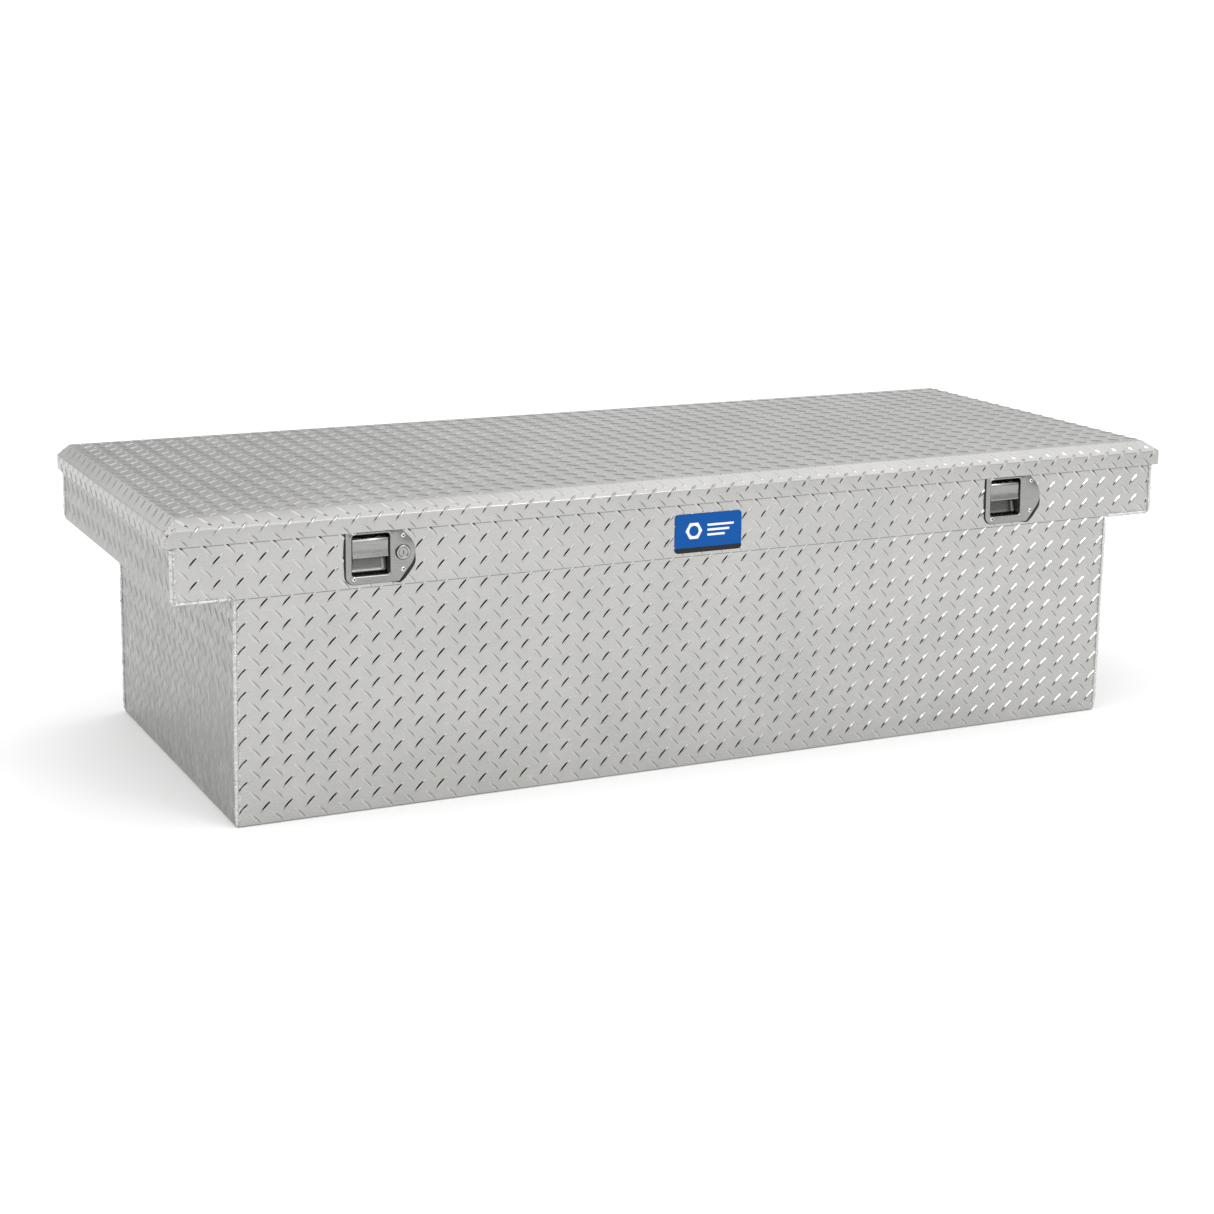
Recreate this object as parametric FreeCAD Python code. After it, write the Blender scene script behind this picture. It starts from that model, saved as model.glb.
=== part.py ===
"""Crossover truck tool box: a single-lid box that saddles a pickup bed.

X runs along the length (left end at -X), the front faces -Y, Z is up.
The origin is at the centre of the underside. All values are millimetres.
"""
import FreeCAD, Part
import math
import os

# ---------------------------------------------------------------- overall
LENGTH = 1770.0              # over the lid
DEPTH = 700.0                # lid front to the back of the hinge
HEIGHT = 476.0
BASE_LENGTH = 1562.0         # lower body, between the bed rails
BAND_HEIGHT = 127.0          # top of the lid down to the faces that rest on the rails
SHEET = 2.0                  # tread plate, without its raised bars
FRONT_LEAN = 9.0             # the lower front's foot sits this far behind the band

# ---------------------------------------------------------------- lid
OVERHANG_END = 11.0          # lid past the body, at each end
OVERHANG_FRONT = 10.0        # lid past the body, at the front
BEVEL_RUN_END = 21.0
BEVEL_RUN_FRONT = 20.0
BEVEL_DROP = 16.0
SKIRT = 24.0                 # vertical strip below the bevel
LINER = 1.0                  # lid liner sheet
SEAL_HEIGHT = 5.7
SEAL_WIDTH = 12.0
SEAL_SQUEEZE_GAP = 0.3       # between the seal and the liner
LID_CAVITY = 21.0            # between skin and liner
STIFFENER_SHEET = 1.2
STIFFENER_CROWN = 50.0       # width against the skin
STIFFENER_FOOT = 16.0        # each foot on the liner
STIFFENER_END_GAP = 12.0     # from the end bevels
STIFFENER_PLACES = (("front", 0.2), ("middle", 0.5), ("rear", 0.8))

# ---------------------------------------------------------------- rim frame
RIM_LEG = 25.0               # horizontal leg, inwards
RIM_DROP = 9.0              # vertical leg, against the panels
PAN_EDGE = 25.0              # turned-up edge of the bottom pan
WELD_SHORT = 0.1                # bead to the edge of the inner sheet
WELD_END_GAP = 2.0           # beads stop short of the sheet edges

# ---------------------------------------------------------------- hinge
KNUCKLE_RADIUS = 3.5
PIN_RADIUS = 1.55
PIN_CLEARANCE = 0.05
LEAF = 1.5
LEAF_WIDTH = 25.0
HINGE_END_INSET = 30.0       # hinge stops short of the body ends
KNUCKLE_COUNT = 34
KNUCKLE_GAP = 0.6
HINGE_RISE = 2.0             # pin axis above the rim
HINGE_RIVETS = 17
LID_OPEN_ANGLE = 80.0

# ---------------------------------------------------------------- struts
STRUT_RADIUS = 250.0         # hinge axis to each strut pivot
STRUT_REST_ANGLE = 75.0      # between the two radii with the lid closed
STRUT_DROP = 14.0            # upper pivot below the liner
STRUT_SIDE_GAP = 2.0         # tube to bracket plate
STRUT_TUBE_RADIUS = 9.0
STRUT_TUBE_WALL = 1.5
STRUT_ROD_RADIUS = 4.0
STRUT_EYE_RADIUS = 8.0
STRUT_EYE_WIDTH = 9.0
STRUT_NECK_RADIUS = 4.0
STRUT_NECK = 6.0             # between the eye and the tube
STRUT_STUD_RADIUS = 4.0
STRUT_GUIDE = 10.0           # rod guide in the mouth of the tube
STRUT_PISTON = 10.0
RUNNING_CLEARANCE = 0.06
STRUT_PLATE = 3.0
STRUT_PLATE_SIZE = 36.0
STRUT_TUBE_EXTRA = 60.0      # tube length besides the travel
STRUT_TUBE_REST_GAP = 5.0    # mouth of the tube to the upper eye, lid closed
STRUT_FLOOR = 4.0            # closed end of the tube
STRUT_PISTON_GAP = 1.0       # piston to guide, lid open
STRUT_HEAD = 2.5             # retaining head of a stud, thick
STRUT_HEAD_LIP = 2.0         # head's radius past the stud
STRUT_HEAD_GAP = 0.5
STRUT_WEB_GAP = 1.0          # lid bracket's web to the eye
STRUT_WEB_DROP = 8.0         # web below the upper pivot

# ---------------------------------------------------------------- handles
HANDLE_INSET = 304.0         # recess centre from the body's end
RECESS_WIDTH = 60.0
RECESS_HEIGHT = 62.0
RECESS_RISE = 19.0           # foot of the recess above the crease
RECESS_DEPTH = 22.0          # behind the face of the band
RECESS_FOOT_DEPTH = 14.0     # the back wall slopes forward to this at the foot
RECESS_SLOPE_RISE = 28.0
DISH_WALL = 1.5
FLANGE = 1.0
GASKET = 1.5
GASKET_MARGIN = 2.0
FLANGE_BORDER = 10.0         # left of the recess
FLANGE_TURN = 14.0           # right of the recess, where the sides turn to the nose
FLANGE_BORDER_LOW = 13.0
FLANGE_BORDER_HIGH = 9.0
FLANGE_CORNER = 14.0
NOSE_REACH = 8.0             # centre of the nose from the recess
NOSE_RADIUS = 32.0
LOCK_REACH = 21.0            # lock and nose rivets from the recess
NOSE_RIVET_REACH = 26.0      # rivets above and below the nose's centre
RIVET_RADIUS = 1.6
RIVET_CLEARANCE = 0.05
RIVET_HEAD_RADIUS = 3.0
RIVET_HEAD_HEIGHT = 1.2
RIVET_CROWN = 0.6            # crown of a head, as a share of its foot
RIVET_TAIL = 1.5             # behind the front panel
PADDLE_CLEARANCE = 1.8       # to each side wall of the recess
PADDLE_PIVOT_DEPTH = 10.0    # behind the face of the band
PADDLE_PIVOT_DROP = 9.0      # below the top of the recess
PADDLE_PIN_RADIUS = 2.5
PADDLE_BOSS_RADIUS = 4.5
PADDLE_SHEET = 2.0
PADDLE_FACE = 8.0            # face in front of the pivot
PADDLE_TOP_RISE = 2.5        # above the pivot
FINGER_GAP = 28.0            # below the paddle
PADDLE_LIP_RADIUS = 2.6
PADDLE_WEB_DROP = 3.0        # webs to the bosses, below the pivot
PIN_PROUD = 1.0              # past the lever; twice that past the dish
SPRING_WIRE = 0.6
SPRING_TURNS = 5
SPRING_PITCH = 2.4           # in wire radii
SPRING_GAP = 0.5             # coil to pin
SPRING_ROOM = 3.0            # beside the coil

# ---------------------------------------------------------------- latch
SHAFT_RADIUS = 5.0
SHAFT_DEPTH = 40.0           # axis behind the face of the band
SHAFT_DROP = 37.0            # below the paddle pivots
SHAFT_END = 36.0             # past each hook
SHAFT_SEAT = 0.02            # between the shaft and what is fixed to it
LEVER_LENGTH = 18.0
LEVER_ANGLE = -20.0
LEVER_HALF_WIDTH = 3.0
LEVER_THICK = 3.0
LEVER_HUB_WALL = 2.5
LEVER_GAP = 1.5              # from the dish wall
CRANK_LENGTH = 30.0
CRANK_ANGLE = 125.0
CRANK_HALF_WIDTH = 4.0
CRANK_HUB_RADIUS = 8.0
HOOK_SPACING = 50.0          # from each handle, outwards
HOOK_THICK = 5.0
HOOK_HUB_RADIUS = 9.0
STRIKER_BAR_RADIUS = 4.0
STRIKER_BAR_RISE = 35.0      # above the shaft
STRIKER_BAR_SHIFT = 4.0      # bar axis behind the shaft axis
STRIKER_HALF = 14.0
STRIKER_PLATE = 2.5
STRIKER_PLATE_LENGTH = 52.0
STRIKER_PLATE_WIDTH = 24.0
STRIKER_GAP = 0.5            # bar to hook, above; twice that in front
HOOK_NOSE = 7.5
HOOK_TIP = 2.0               # thickness at the tip
HOOK_TIP_REACH = 1.0         # tip past the bar
HOOK_ARM = 9.0
BRACKET_OUTER = 25.0         # past each hook
BRACKET_INNER = 170.0        # from each handle, inwards
BRACKET_RADIUS = 11.0
BRACKET_SHEET = 3.0
BRACKET_FOOT = 18.0          # along the panel
LOCK_COLLAR_RADIUS = 10.8
LOCK_BARREL_RADIUS = 9.0
LOCK_PLUG_RADIUS = 7.0
LOCK_COLLAR = 2.0            # proud of the handle's plate
LOCK_LENGTH = 22.0           # behind the face of the band
LOCK_TAIL = 0.5              # plug past the barrel
LOCK_CAM = 2.5
LOCK_CAM_REACH = 11.0
LOCK_CAM_HALF = 4.0
KEYWAY_HALF_WIDTH = 0.7
KEYWAY_HALF_HEIGHT = 4.0
KEYWAY_DEPTH = 8.0
LOCK_NUT = 4.0
LOCK_NUT_CORNER = 13.0       # centre to corner
HEXAGON = 6

# ---------------------------------------------------------------- badge
BADGE_WIDTH = 120.0
BADGE_RISE = 6.0             # above the crease
BADGE_HEIGHT = 63.0
BADGE_THICK = 1.5
BADGE_CORNER = 6.0

# ---------------------------------------------------------------- mounting holes
MOUNT_HOLE_RADIUS = 5.0
MOUNT_SPACING_Y = 360.0

# ---------------------------------------------------------------- worked out
LID_FRONT = -DEPTH / 2
REAR = DEPTH / 2
BAND_FACE = LID_FRONT + OVERHANG_FRONT
BACK_FACE = REAR - 2 * KNUCKLE_RADIUS
LID_HALF = LENGTH / 2
BODY_HALF = LID_HALF - OVERHANG_END
BASE_HALF = BASE_LENGTH / 2
WING_UNDERSIDE = HEIGHT - BAND_HEIGHT
SKIRT_FOOT = HEIGHT - BEVEL_DROP - SKIRT
LINER_FOOT = HEIGHT - SHEET - LID_CAVITY - LINER
RIM_TOP = LINER_FOOT - SEAL_HEIGHT - SEAL_SQUEEZE_GAP
HINGE_Y = REAR - KNUCKLE_RADIUS
HINGE_Z = RIM_TOP + HINGE_RISE
SHAFT_Y = BAND_FACE + SHAFT_DEPTH
PIVOT_Y = BAND_FACE + PADDLE_PIVOT_DEPTH
BAR_Y = SHAFT_Y + STRIKER_BAR_SHIFT
WELD_RADIUS = SHEET - WELD_SHORT
STRUT_X = BASE_HALF - SHEET - STRUT_PLATE - STRUT_SIDE_GAP - STRUT_TUBE_RADIUS
HANDLE_OFFSET = BODY_HALF - HANDLE_INSET
RECESS_BOTTOM = WING_UNDERSIDE + RECESS_RISE
RECESS_TOP = RECESS_BOTTOM + RECESS_HEIGHT
RECESS_SLOPE_TOP = RECESS_BOTTOM + RECESS_SLOPE_RISE
FLANGE_LEFT = RECESS_WIDTH / 2 + FLANGE_BORDER
FLANGE_RIGHT = RECESS_WIDTH / 2 + FLANGE_TURN
FLANGE_BOTTOM = RECESS_BOTTOM - FLANGE_BORDER_LOW
FLANGE_TOP = RECESS_TOP + FLANGE_BORDER_HIGH
NOSE_OFFSET = RECESS_WIDTH / 2 + NOSE_REACH
NOSE_HEIGHT = RECESS_BOTTOM + RECESS_HEIGHT / 2
LOCK_OFFSET = RECESS_WIDTH / 2 + LOCK_REACH
LOCK_X = -HANDLE_OFFSET + LOCK_OFFSET
PADDLE_PIVOT_HEIGHT = RECESS_TOP - PADDLE_PIVOT_DROP
PADDLE_FOOT = RECESS_BOTTOM + FINGER_GAP
SHAFT_HEIGHT = PADDLE_PIVOT_HEIGHT - SHAFT_DROP
HOOK_OFFSET = HANDLE_OFFSET + HOOK_SPACING
SHAFT_HALF = HOOK_OFFSET + SHAFT_END
STRIKER_BAR_HEIGHT = SHAFT_HEIGHT + STRIKER_BAR_RISE
BRACKET_PLACES = (-HOOK_OFFSET - BRACKET_OUTER, -HANDLE_OFFSET + BRACKET_INNER,
                  HANDLE_OFFSET - BRACKET_INNER, HOOK_OFFSET + BRACKET_OUTER)
BADGE_BOTTOM = WING_UNDERSIDE + BADGE_RISE
MOUNT_SPACING_X = BASE_HALF + BODY_HALF
SIDES = (("left", -1), ("right", 1))


def vec(x, y, z):
    return FreeCAD.Vector(x, y, z)


def box(x0, x1, y0, y1, z0, z1):
    low = vec(min(x0, x1), y0, z0)
    return Part.makeBox(abs(x1 - x0), y1 - y0, z1 - z0, low)


def face_of(points):
    return Part.Face(Part.makePolygon(points + [points[0]]))


def prism_x(outline, x0, x1):
    """A (y, z) outline pushed from x0 to x1."""
    face = face_of([vec(x0, y, z) for y, z in outline])
    return face.extrude(vec(x1 - x0, 0, 0))


def rod(start, end, radius):
    along = end - start
    return Part.makeCylinder(radius, along.Length, start, along)


def rod_x(x0, x1, y, z, radius):
    return rod(vec(x0, y, z), vec(x1, y, z), radius)


def rod_y(y0, y1, x, z, radius):
    return rod(vec(x, y0, z), vec(x, y1, z), radius)


def fuse(shapes):
    joined = shapes[0]
    for shape in shapes[1:]:
        joined = joined.fuse(shape)
    return joined.removeSplitter()


def slab_pair(sign, inner, thickness):
    """The two x limits of an upright sheet whose inner face is at inner on one side."""
    return sign * inner, sign * (inner + thickness)


def save(name, shape):
    shape.exportStep("parts/" + name + ".step")


def front_face(z):
    """Y of the outer front face: upright band above the crease, leaning below it."""
    if z >= WING_UNDERSIDE:
        return BAND_FACE
    return BAND_FACE + FRONT_LEAN * (1 - z / WING_UNDERSIDE)


# ================================================================ body
def leaning_strip(x0, x1, z0, z1, depth0, depth1):
    """Sheet parallel to the lower front, between two depths behind its face."""
    outline = [(front_face(z0) + depth0, z0), (front_face(z0) + depth1, z0),
               (front_face(z1) + depth1, z1), (front_face(z1) + depth0, z1)]
    return prism_x(outline, x0, x1)


def dish_outer():
    back = BAND_FACE + RECESS_DEPTH + DISH_WALL
    foot_back = BAND_FACE + RECESS_FOOT_DEPTH + DISH_WALL
    return [(BAND_FACE, RECESS_BOTTOM - DISH_WALL), (BAND_FACE, RECESS_TOP + DISH_WALL),
            (back, RECESS_TOP + DISH_WALL), (back, RECESS_SLOPE_TOP),
            (foot_back, RECESS_BOTTOM - DISH_WALL)]


def dish_inner():
    mouth = BAND_FACE - GASKET - FLANGE
    back = BAND_FACE + RECESS_DEPTH
    foot_back = BAND_FACE + RECESS_FOOT_DEPTH
    return [(mouth, RECESS_BOTTOM), (mouth, RECESS_TOP), (back, RECESS_TOP),
            (back, RECESS_SLOPE_TOP), (foot_back, RECESS_BOTTOM)]


def handle_places():
    return (("left", -HANDLE_OFFSET), ("right", HANDLE_OFFSET))


def rivet_places(centre):
    half = RECESS_WIDTH / 2
    low = RECESS_BOTTOM - DISH_WALL - RIVET_HEAD_RADIUS
    high = RECESS_TOP + DISH_WALL + RIVET_HEAD_RADIUS
    nose = centre + LOCK_OFFSET
    left = centre - half + RIVET_HEAD_RADIUS
    return [(left, low), (left, high),
            (nose, NOSE_HEIGHT - NOSE_RIVET_REACH), (nose, NOSE_HEIGHT + NOSE_RIVET_REACH)]


def front_panel():
    inner = BAND_FACE + SHEET
    panel = box(-BODY_HALF, BODY_HALF, BAND_FACE, inner, WING_UNDERSIDE, RIM_TOP)
    panel = fuse([panel, leaning_strip(-BASE_HALF, BASE_HALF, 0, WING_UNDERSIDE, 0, SHEET)])
    half = RECESS_WIDTH / 2 + DISH_WALL
    for _, centre in handle_places():
        opening = box(centre - half, centre + half, BAND_FACE - 1, inner + 1,
                      RECESS_BOTTOM - DISH_WALL, RECESS_TOP + DISH_WALL)
        panel = panel.cut(opening)
        for x, z in rivet_places(centre):
            panel = panel.cut(rod_y(BAND_FACE - 1, inner + 1, x, z, RIVET_RADIUS + RIVET_CLEARANCE))
    return panel.cut(rod_y(BAND_FACE - 1, inner + 1, LOCK_X, NOSE_HEIGHT, LOCK_BARREL_RADIUS))


def back_panel():
    inner = BACK_FACE - SHEET
    upper = box(-BODY_HALF, BODY_HALF, inner, BACK_FACE, WING_UNDERSIDE, RIM_TOP)
    return fuse([upper, box(-BASE_HALF, BASE_HALF, inner, BACK_FACE, 0, WING_UNDERSIDE)])


def bottom_pan():
    half = BASE_HALF - SHEET
    inner_back = BACK_FACE - SHEET
    y0 = front_face(0) + SHEET
    floor = prism_x([(y0, 0), (inner_back, 0), (inner_back, SHEET),
                     (front_face(SHEET) + SHEET, SHEET)], -half, half)
    pieces = [floor, leaning_strip(-half, half, 0, PAN_EDGE, SHEET, 2 * SHEET),
              box(-half, half, inner_back - SHEET, inner_back, 0, PAN_EDGE)]
    for _, sign in SIDES:
        x0, x1 = slab_pair(sign, half - SHEET, SHEET)
        pieces.append(prism_x([(y0, 0), (inner_back, 0), (inner_back, PAN_EDGE),
                               (front_face(PAN_EDGE) + SHEET, PAN_EDGE)], x0, x1))
    return fuse(pieces)


def lower_end(sign):
    x0, x1 = slab_pair(sign, BASE_HALF - SHEET, SHEET)
    inner_back = BACK_FACE - SHEET
    top = WING_UNDERSIDE + SHEET
    outline = [(front_face(0) + SHEET, 0), (inner_back, 0), (inner_back, top),
               (BAND_FACE + SHEET, top), (BAND_FACE + SHEET, WING_UNDERSIDE)]
    return prism_x(outline, x0, x1)


def wing_floor(sign):
    floor = box(sign * BASE_HALF, sign * (BODY_HALF - SHEET), BAND_FACE + SHEET,
                BACK_FACE - SHEET, WING_UNDERSIDE, WING_UNDERSIDE + SHEET)
    for y in (-MOUNT_SPACING_Y / 2, MOUNT_SPACING_Y / 2):
        start = vec(sign * MOUNT_SPACING_X / 2, y, WING_UNDERSIDE - 1)
        floor = floor.cut(rod(start, start + vec(0, 0, SHEET + 2), MOUNT_HOLE_RADIUS))
    return floor


def wing_end(sign):
    x0, x1 = slab_pair(sign, BODY_HALF - SHEET, SHEET)
    return box(x0, x1, BAND_FACE + SHEET, BACK_FACE - SHEET, WING_UNDERSIDE, RIM_TOP)


def ring(half, y0, y1, width, z0, z1):
    """Upright-walled frame of the given width inside a rectangle."""
    outer = box(-half, half, y0, y1, z0, z1)
    return outer.cut(box(-half + width, half - width, y0 + width, y1 - width, z0 - 1, z1 + 1))


def rim_frame():
    half = BODY_HALF - SHEET
    y0 = BAND_FACE + SHEET
    y1 = BACK_FACE - SHEET
    leg = ring(half, y0, y1, SHEET, RIM_TOP - RIM_DROP, RIM_TOP)
    return fuse([leg, ring(half, y0, y1, RIM_LEG, RIM_TOP - SHEET, RIM_TOP)])


def weather_seal():
    inset = (RIM_LEG - SEAL_WIDTH) / 2
    seal = ring(BODY_HALF - SHEET - inset, BAND_FACE + SHEET + inset, BACK_FACE - SHEET - inset,
                SEAL_WIDTH, RIM_TOP, RIM_TOP + SEAL_HEIGHT)
    return seal


def weld_beads():
    """Round fillets laid on the outside corners, cut flush with the body."""
    mass = box(-BODY_HALF, BODY_HALF, BAND_FACE, BACK_FACE, WING_UNDERSIDE, RIM_TOP)
    lower = prism_x([(front_face(0), 0), (BACK_FACE, 0), (BACK_FACE, WING_UNDERSIDE),
                     (BAND_FACE, WING_UNDERSIDE)], -BASE_HALF, BASE_HALF)
    mass = mass.fuse(lower)
    beads = []
    foot = WELD_END_GAP
    for _, sign in SIDES:
        for y in (BAND_FACE, BACK_FACE):
            beads.append(rod(vec(sign * BODY_HALF, y, WING_UNDERSIDE + foot),
                             vec(sign * BODY_HALF, y, SKIRT_FOOT - foot), WELD_RADIUS))
        beads.append(rod(vec(sign * BASE_HALF, front_face(foot), foot),
                         vec(sign * BASE_HALF, BAND_FACE, WING_UNDERSIDE - foot), WELD_RADIUS))
        beads.append(rod(vec(sign * BASE_HALF, BACK_FACE, foot),
                         vec(sign * BASE_HALF, BACK_FACE, WING_UNDERSIDE - foot), WELD_RADIUS))
        under = rod_x(sign * (BASE_HALF + foot), sign * (BODY_HALF - foot), BAND_FACE,
                      WING_UNDERSIDE, WELD_RADIUS)
        above = box(-LID_HALF, LID_HALF, LID_FRONT, REAR, WING_UNDERSIDE, RIM_TOP)
        beads.append(under.common(above))
    return Part.makeCompound([bead.cut(mass) for bead in beads])


# ================================================================ lid
def lid_block(inset):
    """Solid of the lid's outer form, moved inwards by inset on every face."""
    half = LID_HALF - inset
    y0 = LID_FRONT + inset
    y1 = BACK_FACE - inset
    top = HEIGHT - inset
    block = box(-half, half, y0, y1, SKIRT_FOOT, top)
    margin = SHEET
    slope = math.hypot(BEVEL_RUN_FRONT, BEVEL_DROP)
    z_low = HEIGHT - BEVEL_DROP + inset * (BEVEL_DROP - slope) / BEVEL_RUN_FRONT
    run = (top - z_low) * BEVEL_RUN_FRONT / BEVEL_DROP
    grow = BEVEL_RUN_FRONT / BEVEL_DROP * margin
    wedge = prism_x([(y0 - grow, z_low - margin), (y0 + run + grow, top + margin),
                     (y0 - grow, top + margin)], -half - 1, half + 1)
    block = block.cut(wedge)
    slope = math.hypot(BEVEL_RUN_END, BEVEL_DROP)
    z_low = HEIGHT - BEVEL_DROP + inset * (BEVEL_DROP - slope) / BEVEL_RUN_END
    run = (top - z_low) * BEVEL_RUN_END / BEVEL_DROP
    grow = BEVEL_RUN_END / BEVEL_DROP * margin
    for _, sign in SIDES:
        corners = [(half + grow, z_low - margin), (half - run - grow, top + margin),
                   (half + grow, top + margin)]
        face = face_of([vec(sign * x, y0 - 1, z) for x, z in corners])
        block = block.cut(face.extrude(vec(0, y1 - y0 + 2, 0)))
    return block


def lid_skin():
    skin = lid_block(0).cut(lid_block(SHEET))
    gap_top = HINGE_Z + LEAF
    inner_half = LID_HALF - SHEET
    rear_gap = box(-inner_half, inner_half, BACK_FACE - SHEET - 1, BACK_FACE + 1,
                   SKIRT_FOOT - 1, gap_top)
    return skin.cut(rear_gap)


def lid_stiffener(share):
    """Hat section glued between skin and liner, at a share of the lid's depth."""
    middle = LID_FRONT + share * (BACK_FACE - LID_FRONT)
    half = LID_HALF - BEVEL_RUN_END - STIFFENER_END_GAP
    crown = STIFFENER_CROWN / 2
    wall = STIFFENER_SHEET
    low = LINER_FOOT + LINER
    top = HEIGHT - SHEET
    hat = box(-half, half, middle - crown, middle + crown, low, top)
    hat = hat.cut(box(-half - 1, half + 1, middle - crown + wall, middle + crown - wall,
                      low - 1, top - wall))
    feet = [box(-half, half, y, y + STIFFENER_FOOT, low, low + wall)
            for y in (middle - crown - STIFFENER_FOOT, middle + crown)]
    return fuse([hat] + feet)


def lid_liner():
    inset = SHEET
    return box(-LID_HALF + inset, LID_HALF - inset, LID_FRONT + inset, BACK_FACE - inset,
               LINER_FOOT, LINER_FOOT + LINER)


def striker(sign):
    centre = sign * HOOK_OFFSET
    half = STRIKER_PLATE_LENGTH / 2
    side = STRIKER_PLATE_WIDTH / 2
    plate = box(centre - half, centre + half, BAR_Y - side, BAR_Y + side,
                LINER_FOOT - STRIKER_PLATE, LINER_FOOT)
    pieces = [plate, rod_x(centre - STRIKER_HALF, centre + STRIKER_HALF, BAR_Y,
                           STRIKER_BAR_HEIGHT, STRIKER_BAR_RADIUS)]
    for x in (centre - STRIKER_HALF, centre + STRIKER_HALF):
        corner = vec(x, BAR_Y, STRIKER_BAR_HEIGHT)
        pieces.append(Part.makeSphere(STRIKER_BAR_RADIUS, corner))
        pieces.append(rod(corner, vec(x, BAR_Y, LINER_FOOT - STRIKER_PLATE / 2),
                          STRIKER_BAR_RADIUS))
    return fuse(pieces)


# ================================================================ hinge
def hinge_leaf(upward):
    """Leaf and its own knuckles; the body leaf hangs down, the lid leaf stands up."""
    half = BODY_HALF - HINGE_END_INSET
    pitch = 2 * half / KNUCKLE_COUNT
    clear = KNUCKLE_RADIUS + KNUCKLE_GAP
    step = 1 if upward else -1
    z_near = HINGE_Z + step * clear
    z_far = HINGE_Z + step * LEAF_WIDTH
    front = BACK_FACE
    pieces = [box(-half, half, front, front + LEAF, min(z_near, z_far), max(z_near, z_far))]
    first = 1 if upward else 0
    for index in range(first, KNUCKLE_COUNT, 2):
        x0 = -half + index * pitch + KNUCKLE_GAP / 2
        x1 = x0 + pitch - KNUCKLE_GAP
        web_low = min(HINGE_Z, z_near)
        web_high = max(HINGE_Z, z_near)
        pieces.append(box(x0, x1, front, front + LEAF, web_low, web_high))
        pieces.append(rod_x(x0, x1, HINGE_Y, HINGE_Z, KNUCKLE_RADIUS))
    leaf = fuse(pieces)
    return leaf.cut(rod_x(-half - 1, half + 1, HINGE_Y, HINGE_Z, PIN_RADIUS + PIN_CLEARANCE))


def hinge_pin():
    half = BODY_HALF - HINGE_END_INSET
    return rod_x(-half, half, HINGE_Y, HINGE_Z, PIN_RADIUS)


def hinge_rivets(upward):
    half = BODY_HALF - HINGE_END_INSET
    step = 1 if upward else -1
    z = HINGE_Z + step * (KNUCKLE_RADIUS + LEAF_WIDTH) / 2
    pitch = 2 * half / HINGE_RIVETS
    heads = []
    for index in range(HINGE_RIVETS):
        x = -half + (index + 0.5) * pitch
        heads.append(Part.makeCone(RIVET_HEAD_RADIUS, RIVET_HEAD_RADIUS * RIVET_CROWN, RIVET_HEAD_HEIGHT,
                                   vec(x, BACK_FACE + LEAF, z), vec(0, 1, 0)))
    return Part.makeCompound(heads)


# ================================================================ struts
def strut_pivots():
    """(y, z) of the body pivot and of the lid pivot, with the lid closed."""
    upper_z = LINER_FOOT - STRUT_DROP
    tilt = math.asin((HINGE_Z - upper_z) / STRUT_RADIUS)
    lower = math.pi + tilt + math.radians(STRUT_REST_ANGLE)
    body = (HINGE_Y + STRUT_RADIUS * math.cos(lower), HINGE_Z + STRUT_RADIUS * math.sin(lower))
    lid = (HINGE_Y - STRUT_RADIUS * math.cos(tilt), upper_z)
    return body, lid


def strut_lengths():
    rest = math.radians(STRUT_REST_ANGLE)
    opened = math.radians(STRUT_REST_ANGLE + LID_OPEN_ANGLE)
    return (2 * STRUT_RADIUS * math.sin(rest / 2), 2 * STRUT_RADIUS * math.sin(opened / 2))


def strut_eye(x, y, z):
    half = STRUT_EYE_WIDTH / 2
    return rod_x(x - half, x + half, y, z, STRUT_EYE_RADIUS)


def strut_tube_reach():
    """Distance from the body pivot to the mouth of the tube."""
    closed, opened = strut_lengths()
    piston_back = opened - closed
    rest = closed - STRUT_EYE_RADIUS - STRUT_TUBE_RADIUS - STRUT_TUBE_REST_GAP
    return min(rest, piston_back + STRUT_TUBE_EXTRA)


def along_strut(distance, x):
    """Point on the line from the body pivot to the lid pivot."""
    (y0, z0), (y1, z1) = strut_pivots()
    closed, _ = strut_lengths()
    share = distance / closed
    return vec(x, y0 + (y1 - y0) * share, z0 + (z1 - z0) * share)


def strut_cylinder(sign):
    x = sign * STRUT_X
    (y0, z0), _ = strut_pivots()
    start = along_strut(STRUT_EYE_RADIUS + STRUT_NECK, x)
    mouth = along_strut(strut_tube_reach(), x)
    tube = rod(start, mouth, STRUT_TUBE_RADIUS)
    neck = rod(along_strut(0, x), start, STRUT_NECK_RADIUS)
    shape = fuse([tube, neck, strut_eye(x, y0, z0)])
    floor = along_strut(STRUT_EYE_RADIUS + STRUT_NECK + STRUT_FLOOR, x)
    guide = along_strut(strut_tube_reach() - STRUT_GUIDE, x)
    shape = shape.cut(rod(floor, guide, STRUT_TUBE_RADIUS - STRUT_TUBE_WALL))
    shape = shape.cut(rod(floor, along_strut(strut_tube_reach() + 1, x),
                          STRUT_ROD_RADIUS + RUNNING_CLEARANCE))
    bore = rod_x(x - STRUT_EYE_WIDTH, x + STRUT_EYE_WIDTH, y0, z0,
                 STRUT_STUD_RADIUS + RUNNING_CLEARANCE)
    return shape.cut(bore)


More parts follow.
